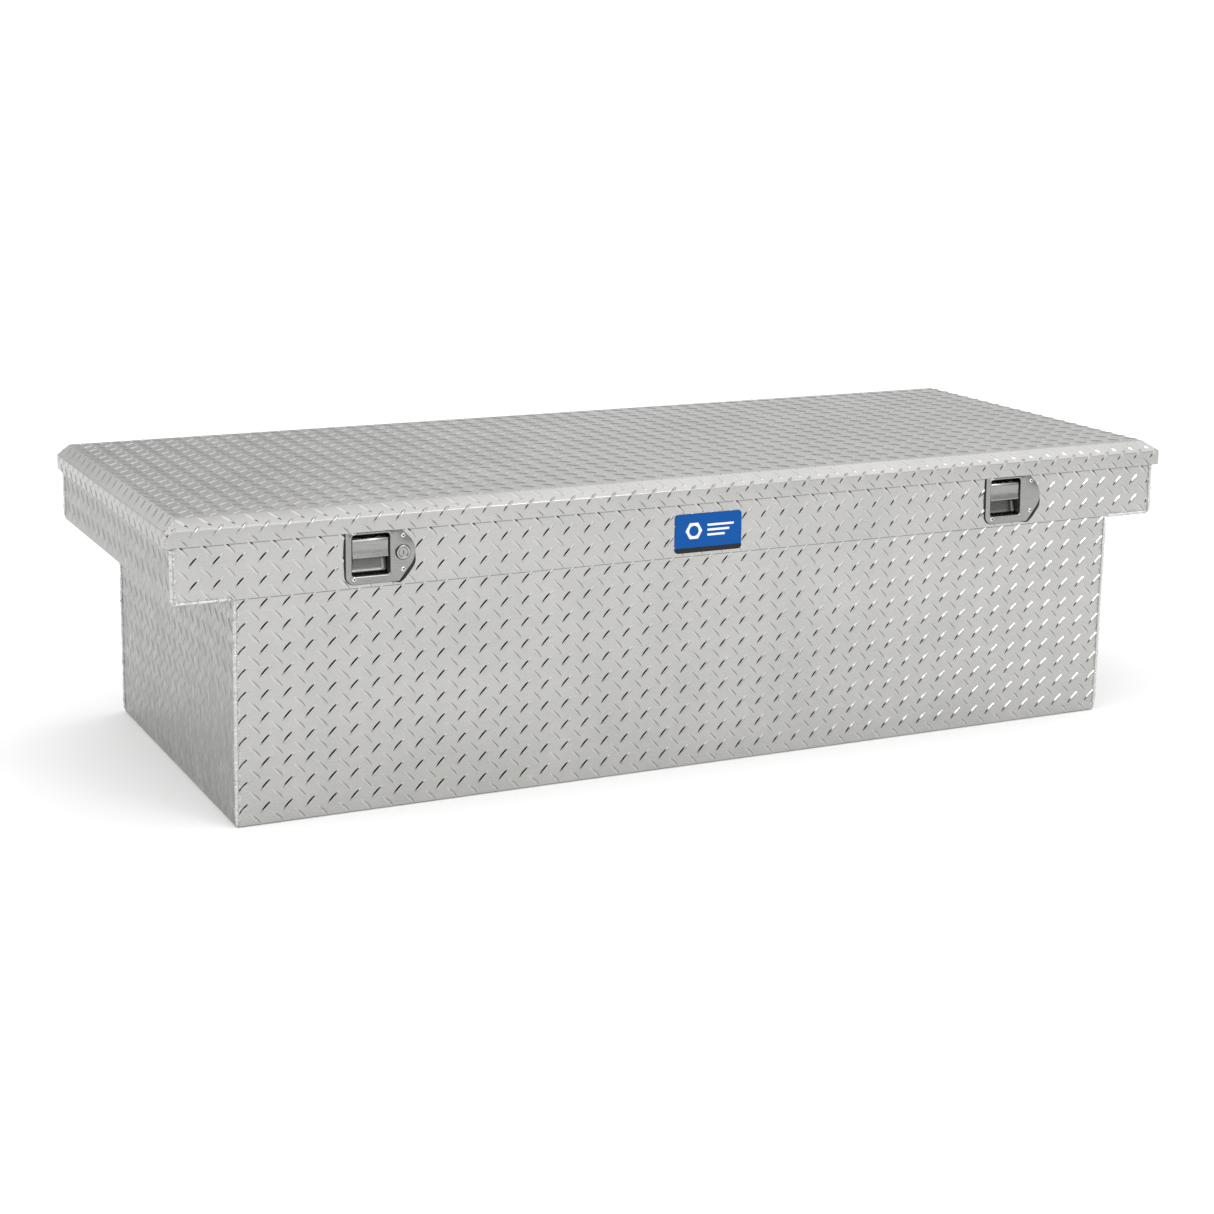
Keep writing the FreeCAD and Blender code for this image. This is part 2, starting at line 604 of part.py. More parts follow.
def strut_rod(sign):
    x = sign * STRUT_X
    _, (y1, z1) = strut_pivots()
    closed, opened = strut_lengths()
    travel = opened - closed
    foot = strut_tube_reach() - STRUT_GUIDE - travel - STRUT_PISTON - STRUT_PISTON_GAP
    shaft = rod(along_strut(foot, x), along_strut(closed, x), STRUT_ROD_RADIUS)
    piston = rod(along_strut(foot, x), along_strut(foot + STRUT_PISTON, x),
                 STRUT_TUBE_RADIUS - STRUT_TUBE_WALL - RUNNING_CLEARANCE)
    shape = fuse([shaft, piston, strut_eye(x, y1, z1)])
    bore = rod_x(x - STRUT_EYE_WIDTH, x + STRUT_EYE_WIDTH, y1, z1,
                 STRUT_STUD_RADIUS + RUNNING_CLEARANCE)
    return shape.cut(bore)


def strut_stud(sign, outer, y, z):
    """Stud from a plate face at outer, through the eye, with a retaining head."""
    x = sign * STRUT_X
    eye = STRUT_EYE_WIDTH / 2 + STRUT_HEAD_GAP
    tip = x - sign * (eye + STRUT_HEAD)
    return fuse([rod_x(outer, tip, y, z, STRUT_STUD_RADIUS),
                 rod_x(x - sign * eye, tip, y, z, STRUT_STUD_RADIUS + STRUT_HEAD_LIP)])


def strut_body_bracket(sign):
    (y, z), _ = strut_pivots()
    wall = sign * (BASE_HALF - SHEET)
    face = wall - sign * STRUT_PLATE
    half = STRUT_PLATE_SIZE / 2
    plate = box(wall, face, y - half, y + half, z - half, z + half)
    return fuse([plate, strut_stud(sign, face, y, z)])


def strut_lid_bracket(sign):
    _, (y, z) = strut_pivots()
    gap = STRUT_EYE_WIDTH / 2 + STRUT_WEB_GAP
    face = sign * (STRUT_X + gap)
    back = face + sign * STRUT_PLATE
    half = STRUT_PLATE_SIZE / 2
    web = box(face, back, y - half, y + half, z - STRUT_WEB_DROP, LINER_FOOT)
    foot = box(back - sign * half, back, y - half, y + half, LINER_FOOT - STRUT_PLATE, LINER_FOOT)
    return fuse([web, foot, strut_stud(sign, face, y, z)])


# ================================================================ handles
def nose_tangent(corner, centre, radius, upper):
    """Where the straight edge from a flange corner touches the round nose."""
    dx = corner[0] - centre[0]
    dz = corner[1] - centre[1]
    reach = math.hypot(dx, dz)
    spread = math.acos(radius / reach)
    angle = math.atan2(dz, dx) + (-spread if upper else spread)
    return centre[0] + radius * math.cos(angle), centre[1] + radius * math.sin(angle)


def flange_outline(middle, margin, y0, y1):
    """The handle's plate: square on the left, a round nose on the right."""
    left = middle - FLANGE_LEFT - margin
    low = FLANGE_BOTTOM - margin
    turn = middle + FLANGE_RIGHT
    corner = FLANGE_CORNER + margin
    nose = (middle + NOSE_OFFSET, NOSE_HEIGHT)
    radius = NOSE_RADIUS + margin
    lower = nose_tangent((turn, low), nose, radius, False)
    upper = nose_tangent((turn, FLANGE_TOP), nose, radius, True)
    tip = (nose[0] + radius, nose[1])
    bend = (left + corner * (1 - math.sqrt(0.5)), low + corner * (1 - math.sqrt(0.5)))

    def at(point):
        return vec(point[0], y0, point[1])

    def line(a, b):
        return Part.LineSegment(at(a), at(b)).toShape()

    def arc(a, b, c):
        return Part.Arc(at(a), at(b), at(c)).toShape()

    edges = [line((left, FLANGE_TOP), (left, low + corner)),
             arc((left, low + corner), bend, (left + corner, low)),
             line((left + corner, low), (turn, low)), line((turn, low), lower),
             arc(lower, tip, upper), line(upper, (turn, FLANGE_TOP)),
             line((turn, FLANGE_TOP), (left, FLANGE_TOP))]
    return Part.Face(Part.Wire(edges)).extrude(vec(0, y1 - y0, 0))


def drill_rivets(shape, middle):
    for x, z in rivet_places(middle):
        shape = shape.cut(rod_y(LID_FRONT, SHAFT_Y, x, z, RIVET_RADIUS + RIVET_CLEARANCE))
    return shape


def drill_lock(shape, middle, has_lock):
    if has_lock:
        shape = shape.cut(rod_y(LID_FRONT, SHAFT_Y, middle + LOCK_OFFSET, NOSE_HEIGHT,
                                LOCK_BARREL_RADIUS))
    return shape


def handle_dish(middle, has_lock):
    half = RECESS_WIDTH / 2
    flange = flange_outline(middle, 0, BAND_FACE - GASKET - FLANGE, BAND_FACE - GASKET)
    collar = box(middle - half - DISH_WALL, middle + half + DISH_WALL, BAND_FACE - GASKET,
                 BAND_FACE, RECESS_BOTTOM - DISH_WALL, RECESS_TOP + DISH_WALL)
    tub = prism_x(dish_outer(), middle - half - DISH_WALL, middle + half + DISH_WALL)
    dish = fuse([flange, collar, tub])
    dish = dish.cut(prism_x(dish_inner(), middle - half, middle + half))
    wall = half + 2 * DISH_WALL
    pin = rod_x(middle - wall, middle + wall, PIVOT_Y, PADDLE_PIVOT_HEIGHT,
                PADDLE_PIN_RADIUS + RUNNING_CLEARANCE)
    dish = drill_rivets(dish.cut(pin), middle)
    return drill_lock(dish, middle, has_lock)


def handle_gasket(middle, has_lock):
    half = RECESS_WIDTH / 2 + DISH_WALL
    gasket = flange_outline(middle, GASKET_MARGIN, BAND_FACE - GASKET, BAND_FACE)
    gasket = gasket.cut(box(middle - half, middle + half, LID_FRONT, SHAFT_Y,
                            RECESS_BOTTOM - DISH_WALL, RECESS_TOP + DISH_WALL))
    return drill_lock(drill_rivets(gasket, middle), middle, has_lock)


def handle_rivets(middle):
    front = BAND_FACE - GASKET - FLANGE
    rivets = []
    for x, z in rivet_places(middle):
        head = Part.makeCone(RIVET_HEAD_RADIUS, RIVET_HEAD_RADIUS * RIVET_CROWN, RIVET_HEAD_HEIGHT,
                             vec(x, front, z), vec(0, -1, 0))
        rivets.append(fuse([head, rod_y(front, BAND_FACE + SHEET + RIVET_TAIL, x, z, RIVET_RADIUS)]))
    return Part.makeCompound(rivets)


def paddle(middle):
    half = RECESS_WIDTH / 2 - PADDLE_CLEARANCE
    face = PIVOT_Y - PADDLE_FACE
    back = face + PADDLE_SHEET
    z = PADDLE_PIVOT_HEIGHT
    coil = SPRING_TURNS * 2 * SPRING_WIRE + SPRING_ROOM
    plate = box(middle - half, middle + half, face, back, PADDLE_FOOT, z + PADDLE_TOP_RISE)
    lip = rod_x(middle - half, middle + half, back, PADDLE_FOOT, PADDLE_LIP_RADIUS)
    pieces = [plate, lip]
    for x0, x1 in ((middle - half, middle - coil), (middle + coil, middle + half)):
        pieces.append(rod_x(x0, x1, PIVOT_Y, z, PADDLE_BOSS_RADIUS))
        pieces.append(box(x0, x1, back - PADDLE_SHEET / 2, PIVOT_Y, z - PADDLE_WEB_DROP,
                          z + PADDLE_TOP_RISE))
    shape = fuse(pieces)
    return shape.cut(rod_x(middle - half - 1, middle + half + 1, PIVOT_Y, z,
                           PADDLE_PIN_RADIUS + SHAFT_SEAT))


def lever_limits(middle):
    x0 = middle + RECESS_WIDTH / 2 + DISH_WALL + LEVER_GAP
    return x0, x0 + LEVER_THICK


def paddle_pin(middle):
    _, x1 = lever_limits(middle)
    x0 = middle - RECESS_WIDTH / 2 - DISH_WALL - 2 * PIN_PROUD
    return rod_x(x0, x1 + PIN_PROUD, PIVOT_Y, PADDLE_PIVOT_HEIGHT, PADDLE_PIN_RADIUS)


def paddle_spring(middle):
    pitch = SPRING_PITCH * SPRING_WIRE
    height = SPRING_TURNS * pitch
    mean = PADDLE_PIN_RADIUS + SPRING_WIRE + SPRING_GAP
    helix = Part.makeHelix(pitch, height, mean)
    start = vec(mean, 0, 0)
    circle = Part.Wire([Part.makeCircle(SPRING_WIRE, start, vec(0, 1, 0))])
    coil = Part.Wire(helix.Edges).makePipeShell([circle], True, True)
    coil.rotate(vec(0, 0, 0), vec(0, 1, 0), 90)
    coil.translate(vec(middle - height / 2, PIVOT_Y, PADDLE_PIVOT_HEIGHT))
    return coil


def arm(centre, length, angle, half_width, hub, x0, x1):
    """Flat arm with round ends in the YZ plane."""
    turn = math.radians(angle)
    tip = (centre[0] + length * math.cos(turn), centre[1] + length * math.sin(turn))
    side = (-half_width * math.sin(turn), half_width * math.cos(turn))
    outline = [(centre[0] + side[0], centre[1] + side[1]), (tip[0] + side[0], tip[1] + side[1]),
               (tip[0] - side[0], tip[1] - side[1]), (centre[0] - side[0], centre[1] - side[1])]
    return fuse([prism_x(outline, x0, x1), rod_x(x0, x1, tip[0], tip[1], half_width),
                 rod_x(x0, x1, centre[0], centre[1], hub)])


def release_lever(middle):
    x0, x1 = lever_limits(middle)
    hub = PADDLE_PIN_RADIUS + LEVER_HUB_WALL
    lever = arm((PIVOT_Y, PADDLE_PIVOT_HEIGHT), LEVER_LENGTH, LEVER_ANGLE, LEVER_HALF_WIDTH,
                hub, x0, x1)
    return lever.cut(rod_x(x0 - 1, x1 + 1, PIVOT_Y, PADDLE_PIVOT_HEIGHT,
                           PADDLE_PIN_RADIUS + SHAFT_SEAT))


# ================================================================ lock
def lock_body():
    front = BAND_FACE - GASKET - FLANGE
    collar = rod_y(front - LOCK_COLLAR, front, LOCK_X, NOSE_HEIGHT, LOCK_COLLAR_RADIUS)
    barrel = rod_y(front, BAND_FACE + LOCK_LENGTH, LOCK_X, NOSE_HEIGHT, LOCK_BARREL_RADIUS)
    body = fuse([collar, barrel])
    return body.cut(rod_y(front - LOCK_COLLAR - 1, BAND_FACE + LOCK_LENGTH + 1, LOCK_X, NOSE_HEIGHT,
                          LOCK_PLUG_RADIUS + RUNNING_CLEARANCE))


def lock_plug():
    front = BAND_FACE - GASKET - FLANGE - LOCK_COLLAR
    plug = rod_y(front, BAND_FACE + LOCK_LENGTH + LOCK_TAIL, LOCK_X, NOSE_HEIGHT, LOCK_PLUG_RADIUS)
    slot = box(LOCK_X - KEYWAY_HALF_WIDTH, LOCK_X + KEYWAY_HALF_WIDTH, front - 1,
               front + KEYWAY_DEPTH, NOSE_HEIGHT - KEYWAY_HALF_HEIGHT,
               NOSE_HEIGHT + KEYWAY_HALF_HEIGHT)
    return plug.cut(slot)


def lock_cam():
    y0 = BAND_FACE + LOCK_LENGTH + LOCK_TAIL
    blade = box(LOCK_X - LOCK_CAM_REACH, LOCK_X, y0, y0 + LOCK_CAM, NOSE_HEIGHT - LOCK_CAM_HALF,
                NOSE_HEIGHT + LOCK_CAM_HALF)
    return fuse([blade, rod_y(y0, y0 + LOCK_CAM, LOCK_X, NOSE_HEIGHT, LOCK_PLUG_RADIUS)])


def lock_nut():
    y0 = BAND_FACE + SHEET
    corners = []
    for index in range(HEXAGON):
        turn = 2 * math.pi * index / HEXAGON
        corners.append(vec(LOCK_X + LOCK_NUT_CORNER * math.cos(turn), y0,
                           NOSE_HEIGHT + LOCK_NUT_CORNER * math.sin(turn)))
    nut = face_of(corners).extrude(vec(0, LOCK_NUT, 0))
    return nut.cut(rod_y(y0 - 1, y0 + LOCK_NUT + 1, LOCK_X, NOSE_HEIGHT, LOCK_BARREL_RADIUS))


# ================================================================ latch
def release_shaft():
    return rod_x(-SHAFT_HALF, SHAFT_HALF, SHAFT_Y, SHAFT_HEIGHT, SHAFT_RADIUS)


def crank(middle):
    x0, x1 = lever_limits(middle)
    shape = arm((SHAFT_Y, SHAFT_HEIGHT), CRANK_LENGTH, CRANK_ANGLE, CRANK_HALF_WIDTH,
                CRANK_HUB_RADIUS, x0, x1)
    return shape.cut(rod_x(x0 - 1, x1 + 1, SHAFT_Y, SHAFT_HEIGHT, SHAFT_RADIUS + SHAFT_SEAT))


def hook(sign):
    x0 = sign * HOOK_OFFSET - HOOK_THICK / 2
    x1 = x0 + HOOK_THICK
    under = STRIKER_BAR_HEIGHT + STRIKER_BAR_RADIUS + STRIKER_GAP
    throat = BAR_Y - STRIKER_BAR_RADIUS - 2 * STRIKER_GAP
    tip = BAR_Y + STRIKER_BAR_RADIUS + HOOK_TIP_REACH
    outline = [(throat - HOOK_ARM, SHAFT_HEIGHT), (throat - HOOK_ARM, under + HOOK_NOSE - HOOK_TIP),
               (throat - HOOK_ARM + HOOK_TIP, under + HOOK_NOSE),
               (throat + HOOK_TIP, under + HOOK_NOSE), (tip, under + HOOK_TIP), (tip, under),
               (throat, under), (throat, SHAFT_HEIGHT)]
    shape = fuse([prism_x(outline, x0, x1),
                  rod_x(x0, x1, SHAFT_Y, SHAFT_HEIGHT, HOOK_HUB_RADIUS)])
    return shape.cut(rod_x(x0 - 1, x1 + 1, SHAFT_Y, SHAFT_HEIGHT, SHAFT_RADIUS + SHAFT_SEAT))


def shaft_bracket(place):
    half = BRACKET_SHEET / 2
    wall = BAND_FACE + SHEET
    low = SHAFT_HEIGHT - BRACKET_RADIUS
    high = SHAFT_HEIGHT + BRACKET_RADIUS
    web = box(place - half, place + half, wall, SHAFT_Y, low, high)
    eye = rod_x(place - half, place + half, SHAFT_Y, SHAFT_HEIGHT, BRACKET_RADIUS)
    foot = box(place - half, place + BRACKET_FOOT, wall, wall + BRACKET_SHEET, low, high)
    bracket = fuse([web, eye, foot])
    return bracket.cut(rod_x(place - half - 1, place + half + 1, SHAFT_Y, SHAFT_HEIGHT,
                             SHAFT_RADIUS + RUNNING_CLEARANCE))


def badge():
    half = BADGE_WIDTH / 2
    plate = box(-half, half, BAND_FACE - BADGE_THICK, BAND_FACE, BADGE_BOTTOM,
                BADGE_BOTTOM + BADGE_HEIGHT)
    uprights = [edge for edge in plate.Edges
                if edge.BoundBox.YLength > BADGE_THICK / 2]
    return plate.makeFillet(BADGE_CORNER, uprights)


def main():
    os.makedirs("parts", exist_ok=True)
    save("front_panel", front_panel())
    save("back_panel", back_panel())
    save("bottom_pan", bottom_pan())
    save("rim_frame", rim_frame())
    save("weather_seal", weather_seal())
    save("weld_beads", weld_beads())
    save("lid_skin", lid_skin())
    for place, share in STIFFENER_PLACES:
        save("lid_stiffener_" + place, lid_stiffener(share))
    save("lid_liner", lid_liner())
    save("hinge_leaf_body", hinge_leaf(False))
    save("hinge_leaf_lid", hinge_leaf(True))
    save("hinge_pin", hinge_pin())
    save("hinge_rivets_body", hinge_rivets(False))
    save("hinge_rivets_lid", hinge_rivets(True))
    for side, sign in SIDES:
        save("lower_end_" + side, lower_end(sign))
        save("wing_floor_" + side, wing_floor(sign))
        save("wing_end_" + side, wing_end(sign))
        save("striker_" + side, striker(sign))
        save("strut_body_bracket_" + side, strut_body_bracket(sign))
        save("strut_lid_bracket_" + side, strut_lid_bracket(sign))
        save("strut_cylinder_" + side, strut_cylinder(sign))
        save("strut_rod_" + side, strut_rod(sign))
        save("hook_" + side, hook(sign))
    for side, middle in handle_places():
        has_lock = side == "left"
        save("handle_dish_" + side, handle_dish(middle, has_lock))
        save("handle_gasket_" + side, handle_gasket(middle, has_lock))
        save("handle_rivets_" + side, handle_rivets(middle))
        save("paddle_" + side, paddle(middle))
        save("paddle_pin_" + side, paddle_pin(middle))
        save("paddle_spring_" + side, paddle_spring(middle))
        save("release_lever_" + side, release_lever(middle))
        save("crank_" + side, crank(middle))
    save("release_shaft", release_shaft())
    for index, place in enumerate(BRACKET_PLACES, 1):
        save("shaft_bracket_%d" % index, shaft_bracket(place))
    save("lock_body", lock_body())
    save("lock_plug", lock_plug())
    save("lock_cam", lock_cam())
    save("lock_nut", lock_nut())
    save("badge", badge())


main()
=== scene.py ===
"""Looks of a crossover truck tool box, built around its packed frame.

The box is bright tread plate: X along its length, the front at -Y, metres throughout.
"""
import math

import bmesh
import bpy
import numpy as np
from bpy.props import FloatProperty, FloatVectorProperty, PointerProperty
from mathutils import Matrix, Vector


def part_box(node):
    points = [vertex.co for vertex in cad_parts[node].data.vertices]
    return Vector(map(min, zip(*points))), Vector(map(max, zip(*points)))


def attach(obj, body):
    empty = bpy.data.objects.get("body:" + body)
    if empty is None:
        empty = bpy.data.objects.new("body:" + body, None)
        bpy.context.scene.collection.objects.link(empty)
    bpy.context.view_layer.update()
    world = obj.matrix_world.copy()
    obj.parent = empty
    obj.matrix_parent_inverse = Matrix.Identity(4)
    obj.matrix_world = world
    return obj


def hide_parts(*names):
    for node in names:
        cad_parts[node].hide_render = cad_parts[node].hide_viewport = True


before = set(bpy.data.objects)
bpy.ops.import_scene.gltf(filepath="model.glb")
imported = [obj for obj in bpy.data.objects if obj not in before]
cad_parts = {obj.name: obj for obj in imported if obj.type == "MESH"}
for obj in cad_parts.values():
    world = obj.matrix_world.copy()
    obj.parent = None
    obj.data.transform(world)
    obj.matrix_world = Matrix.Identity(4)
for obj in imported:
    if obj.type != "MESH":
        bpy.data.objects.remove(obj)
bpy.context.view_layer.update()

bl_info = {
    "name": "Truck Tool Box",
    "version": (1, 0, 0),
    "blender": (4, 5, 0),
    "location": "View3D > Sidebar > Tool Box",
    "description": "Builds a tread-plate crossover tool box around its packed frame",
    "category": "Add Mesh",
}

MM = 0.001
PLATE = 2 * MM
SIDES = (("left", -1), ("right", 1))


def node_box(name):
    """Low and high corner of a packed node."""
    low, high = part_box(name)
    return np.array(low), np.array(high)


# Planes of the sheet metal, read from the frame. The front leans in below its crease, so its
# foot lies a plate's thickness before the rearmost point of the sheet.
LID_LOW, LID_HIGH = node_box("lid_skin")
FRONT_LOW, FRONT_HIGH = node_box("front_panel")
BAND_FACE = float(FRONT_LOW[1])
FOOT_FACE = float(FRONT_HIGH[1]) - PLATE
RIM_TOP = float(FRONT_HIGH[2])
BODY_HALF = float(FRONT_HIGH[0])
BACK_FACE = float(node_box("back_panel")[1][1])
BASE_HALF = float(node_box("lower_end_right")[1][0])
CREASE = float(node_box("wing_floor_right")[0][2])


# ---------------------------------------------------------------- properties
class TreadSizes(bpy.types.PropertyGroup):
    """The raised bars of the tread plate"""
    pitch: FloatProperty(name="Pitch", description="Spacing of the bars that lean one way",
                         default=35 * MM, unit="LENGTH")
    length: FloatProperty(name="Bar Length", description="End to end of one bar",
                          default=26.5 * MM, unit="LENGTH")
    width: FloatProperty(name="Bar Width", description="Across the middle of one bar",
                         default=6.0 * MM, unit="LENGTH")
    height: FloatProperty(name="Bar Height", description="How far a bar stands off the sheet",
                          default=1.25 * MM, unit="LENGTH")
    sink: FloatProperty(name="Bar Root", description="How deep a bar is seated in the sheet",
                        default=0.3 * MM, unit="LENGTH")


class SheetSizes(bpy.types.PropertyGroup):
    """Folds and welds of the sheet metal"""
    thickness: FloatProperty(name="Sheet", description="Thickness between the bars",
                             default=PLATE, unit="LENGTH")
    bend: FloatProperty(name="Bend Radius", description="Outside radius of each fold of the lid",
                        default=3.2 * MM, unit="LENGTH")
    bevel_drop: FloatProperty(name="Bevel Drop", description="Height of the lid's bevel",
                              default=16 * MM, unit="LENGTH")
    bevel_front: FloatProperty(name="Front Bevel", description="Depth of the front bevel",
                               default=20 * MM, unit="LENGTH")
    bevel_end: FloatProperty(name="End Bevel", description="Depth of the end bevels",
                             default=21 * MM, unit="LENGTH")
    corner: FloatProperty(name="Mitre Radius", description="Rounding of the ground lid corners",
                          default=2.5 * MM, unit="LENGTH")
    bead: FloatProperty(name="Weld Bead", description="Radius of a weld bead",
                        default=3.0 * MM, unit="LENGTH")
    ripple: FloatProperty(name="Weld Ripple", description="Spacing of the ripples in a bead",
                          default=3.4 * MM, unit="LENGTH")


class HandleSizes(bpy.types.PropertyGroup):
    """The flush paddle handles"""
    flange: FloatProperty(name="Flange", description="Thickness of the handle's plate",
                          default=1 * MM, unit="LENGTH")
    gasket: FloatProperty(name="Gasket", description="Thickness of the rubber behind the plate",
                          default=1.5 * MM, unit="LENGTH")
    rim: FloatProperty(name="Rim", description="How far the recess's rolled rim stands proud",
                       default=0.8 * MM, unit="LENGTH")
    recess_gap: FloatProperty(name="Recess Gap", description="Between the paddle and each side wall",
                              default=1.8 * MM, unit="LENGTH")
    recess_height: FloatProperty(name="Recess Height", description="Foot to top of the recess",
                                 default=62 * MM, unit="LENGTH")
    border: FloatProperty(name="Lower Border", description="Plate below the recess",
                          default=13 * MM, unit="LENGTH")
    recess_corner: FloatProperty(name="Recess Corner", description="Corner radius of the recess",
                                 default=5 * MM, unit="LENGTH")
    nose_radius: FloatProperty(name="Nose Radius", description="Round end of the plate",
                               default=32 * MM, unit="LENGTH")
    plate_turn: FloatProperty(name="Plate Turn", description="Centre to where the sides turn inwards",
                              default=44 * MM, unit="LENGTH")
    flange_corner: FloatProperty(name="Plate Corner", description="Round lower corner of the plate",
                                 default=14 * MM, unit="LENGTH")
    lock_reach: FloatProperty(name="Lock Reach", description="Centre to the lock and its rivets",
                              default=51 * MM, unit="LENGTH")
    rivet_reach: FloatProperty(name="Rivet Reach", description="Lock centre to each nose rivet",
                               default=26 * MM, unit="LENGTH")


class Finishes(bpy.types.PropertyGroup):
    """Colours of the materials"""
    aluminium: FloatVectorProperty(name="Aluminium", description="Bright tread plate",
                                   default=(0.478, 0.474, 0.462), subtype="COLOR")
    weld: FloatVectorProperty(name="Weld", description="Beads and ground corners",
                              default=(0.60, 0.60, 0.59), subtype="COLOR")
    steel: FloatVectorProperty(name="Stainless", description="Handles and rivets",
                               default=(0.31, 0.31, 0.305), subtype="COLOR")
    zinc: FloatVectorProperty(name="Zinc", description="Latch and brackets",
                              default=(0.56, 0.57, 0.58), subtype="COLOR")
    blue: FloatVectorProperty(name="Badge Blue", description="Field of the badge",
                              default=(0.0, 0.066, 0.27), subtype="COLOR")
    rubber: FloatVectorProperty(name="Rubber", description="Gaskets and seal",
                                default=(0.012, 0.012, 0.012), subtype="COLOR")


class StageSizes(bpy.types.PropertyGroup):
    """Floor, studio and camera"""
    floor: FloatProperty(name="Floor Size", description="Side of the pale floor",
                         default=400.0, unit="LENGTH")
    floor_colour: FloatVectorProperty(name="Floor Colour", description="Pale floor",
                                      default=(0.95, 0.95, 0.95), subtype="COLOR")
    camera: FloatVectorProperty(name="Camera", description="Where the camera stands",
                                default=(-1.73087, -3.59086, 1.16409), subtype="TRANSLATION")
    yaw: FloatProperty(name="Yaw", description="Camera turn from straight ahead",
                       default=math.radians(-25.5), subtype="ANGLE")
    pitch: FloatProperty(name="Pitch", description="Camera tilt from level",
                         default=math.radians(-9.966), subtype="ANGLE")
    roll: FloatProperty(name="Roll", description="Camera lean", default=0.00885, subtype="ANGLE")
    lens: FloatProperty(name="Lens", description="Focal length on a 36 mm sensor, in millimetres",
                        default=69.74)
    shift: FloatProperty(name="Shift", description="Downward shift, in frame widths",
                         default=-0.1293)


GROUPS = {"toolbox_tread": TreadSizes, "toolbox_sheet": SheetSizes, "toolbox_handle": HandleSizes,
          "toolbox_finish": Finishes, "toolbox_stage": StageSizes}


# ---------------------------------------------------------------- meshes
def piece(name, verts, faces, material, body, replaced=(), sharp=40.0):
    """A finished object that rides on a body; faces meeting at over sharp degrees stay crisp."""
    mesh = bpy.data.meshes.new(name)
    mesh.from_pydata([tuple(v) for v in verts], [], [tuple(f) for f in faces])
    mesh.validate()
    work = bmesh.new()
    work.from_mesh(mesh)
    bmesh.ops.recalc_face_normals(work, faces=work.faces)
    work.to_mesh(mesh)
    work.free()
    mesh.polygons.foreach_set("use_smooth", [True] * len(mesh.polygons))
    mesh.set_sharp_from_angle(angle=math.radians(sharp))
    mesh.materials.append(material)
    shape = bpy.data.objects.new(name, mesh)
    bpy.context.scene.collection.objects.link(shape)
    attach(shape, body)
    if replaced:
        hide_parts(*replaced)
    return shape


class Build:
    """Gathers closed shells into one mesh."""

    def __init__(self):
        self.verts = []
        self.faces = []

    def add(self, verts, faces):
        base = len(self.verts)
        self.verts.extend(tuple(map(float, v)) for v in verts)
        self.faces.extend(tuple(base + i for i in face) for face in faces)

    def loops(self, loops, close=False):
        """Skin between rings of equal length, capped at both ends unless closed on itself."""
        count = len(loops[0])
        verts = [point for loop in loops for point in loop]
        faces = []
        last = len(loops) if close else len(loops) - 1
        for k in range(last):
            a = k * count
            b = (k + 1) % len(loops) * count
            for i in range(count):
                j = (i + 1) % count
                faces.append((a + i, a + j, b + j, b + i))
        if not close:
            faces.append(tuple(range(count))[::-1])
            faces.append(tuple(range((len(loops) - 1) * count, len(loops) * count)))
        self.add(verts, faces)

    def lathe(self, start, axis, profile, segments=24):
        """Turned solid: profile is (distance along the axis, radius) pairs."""
        along = Vector(axis).normalized()
        self.loops([circle(Vector(start) + along * distance, along, radius, segments)
                    for distance, radius in profile])

    def sweep_x(self, outline, x0, x1, chamfer):
        """A (y, z) outline pushed along X with small chamfers at both ends."""
        small = drawn_in(outline, chamfer)
        rings = []
        for x, shape in ((x0, small), (x0 + chamfer, outline), (x1 - chamfer, outline), (x1, small)):
            rings.append([(x, y, z) for y, z in shape])
        self.loops(rings)

    def finish(self, name, material, body, slot, replaced=(), sharp=40.0):
        return piece(name, self.verts, self.faces, material, body, replaced, sharp)


def arc(centre, radius, start, stop, steps):
    """Points of an arc, angles in degrees."""
    turns = np.radians(np.linspace(start, stop, steps))
    return [(centre[0] + radius * math.cos(t), centre[1] + radius * math.sin(t)) for t in turns]


def circle(centre, along, radius, segments):
    """Ring of points about a centre, square to a direction."""
    side = along.orthogonal().normalized()
    other = along.cross(side)
    ring = []
    for k in range(segments):
        turn = 2 * math.pi * k / segments
        ring.append(centre + (side * math.cos(turn) + other * math.sin(turn)) * radius)
    return ring


def scaled(outline, middle, share):
    """An outline made smaller or larger about a middle point."""
    return [tuple(np.array(middle) + (np.array(p) - middle) * share) for p in outline]


def drawn_in(outline, inset):
    """An outline made smaller about its middle, by an inset at its farthest point."""
    middle = np.mean(np.array(outline), axis=0)
    reach = max(math.dist(middle, point) for point in outline)
    return scaled(outline, middle, 1 - inset / reach)


def rounded_rectangle(x0, x1, z0, z1, radius, steps=7):
    """Outline of a rectangle with round corners, anticlockwise from its lower right."""
    return (arc((x1 - radius, z0 + radius), radius, -90, 0, steps)
            + arc((x1 - radius, z1 - radius), radius, 0, 90, steps)
            + arc((x0 + radius, z1 - radius), radius, 90, 180, steps)
            + arc((x0 + radius, z0 + radius), radius, 180, 270, steps))


def dome(radius, height, steps=5, dimple=0.0):
    """Profile of a rivet or screw head, from its seat to its crown."""
    profile = []
    for k in range(steps):
        turn = math.pi / 2 * k / (steps - 1)
        profile.append((height * math.sin(turn), max(radius * math.cos(turn), radius * 0.3)))
    if dimple:
        profile += [(height - dimple, radius * 0.22), (height - dimple, radius * 0.05)]
    else:
        profile.append((height, radius * 0.05))
    return [(0.0, radius * 0.98)] + profile


# ---------------------------------------------------------------- folded sheet
BEND_STEPS = 6


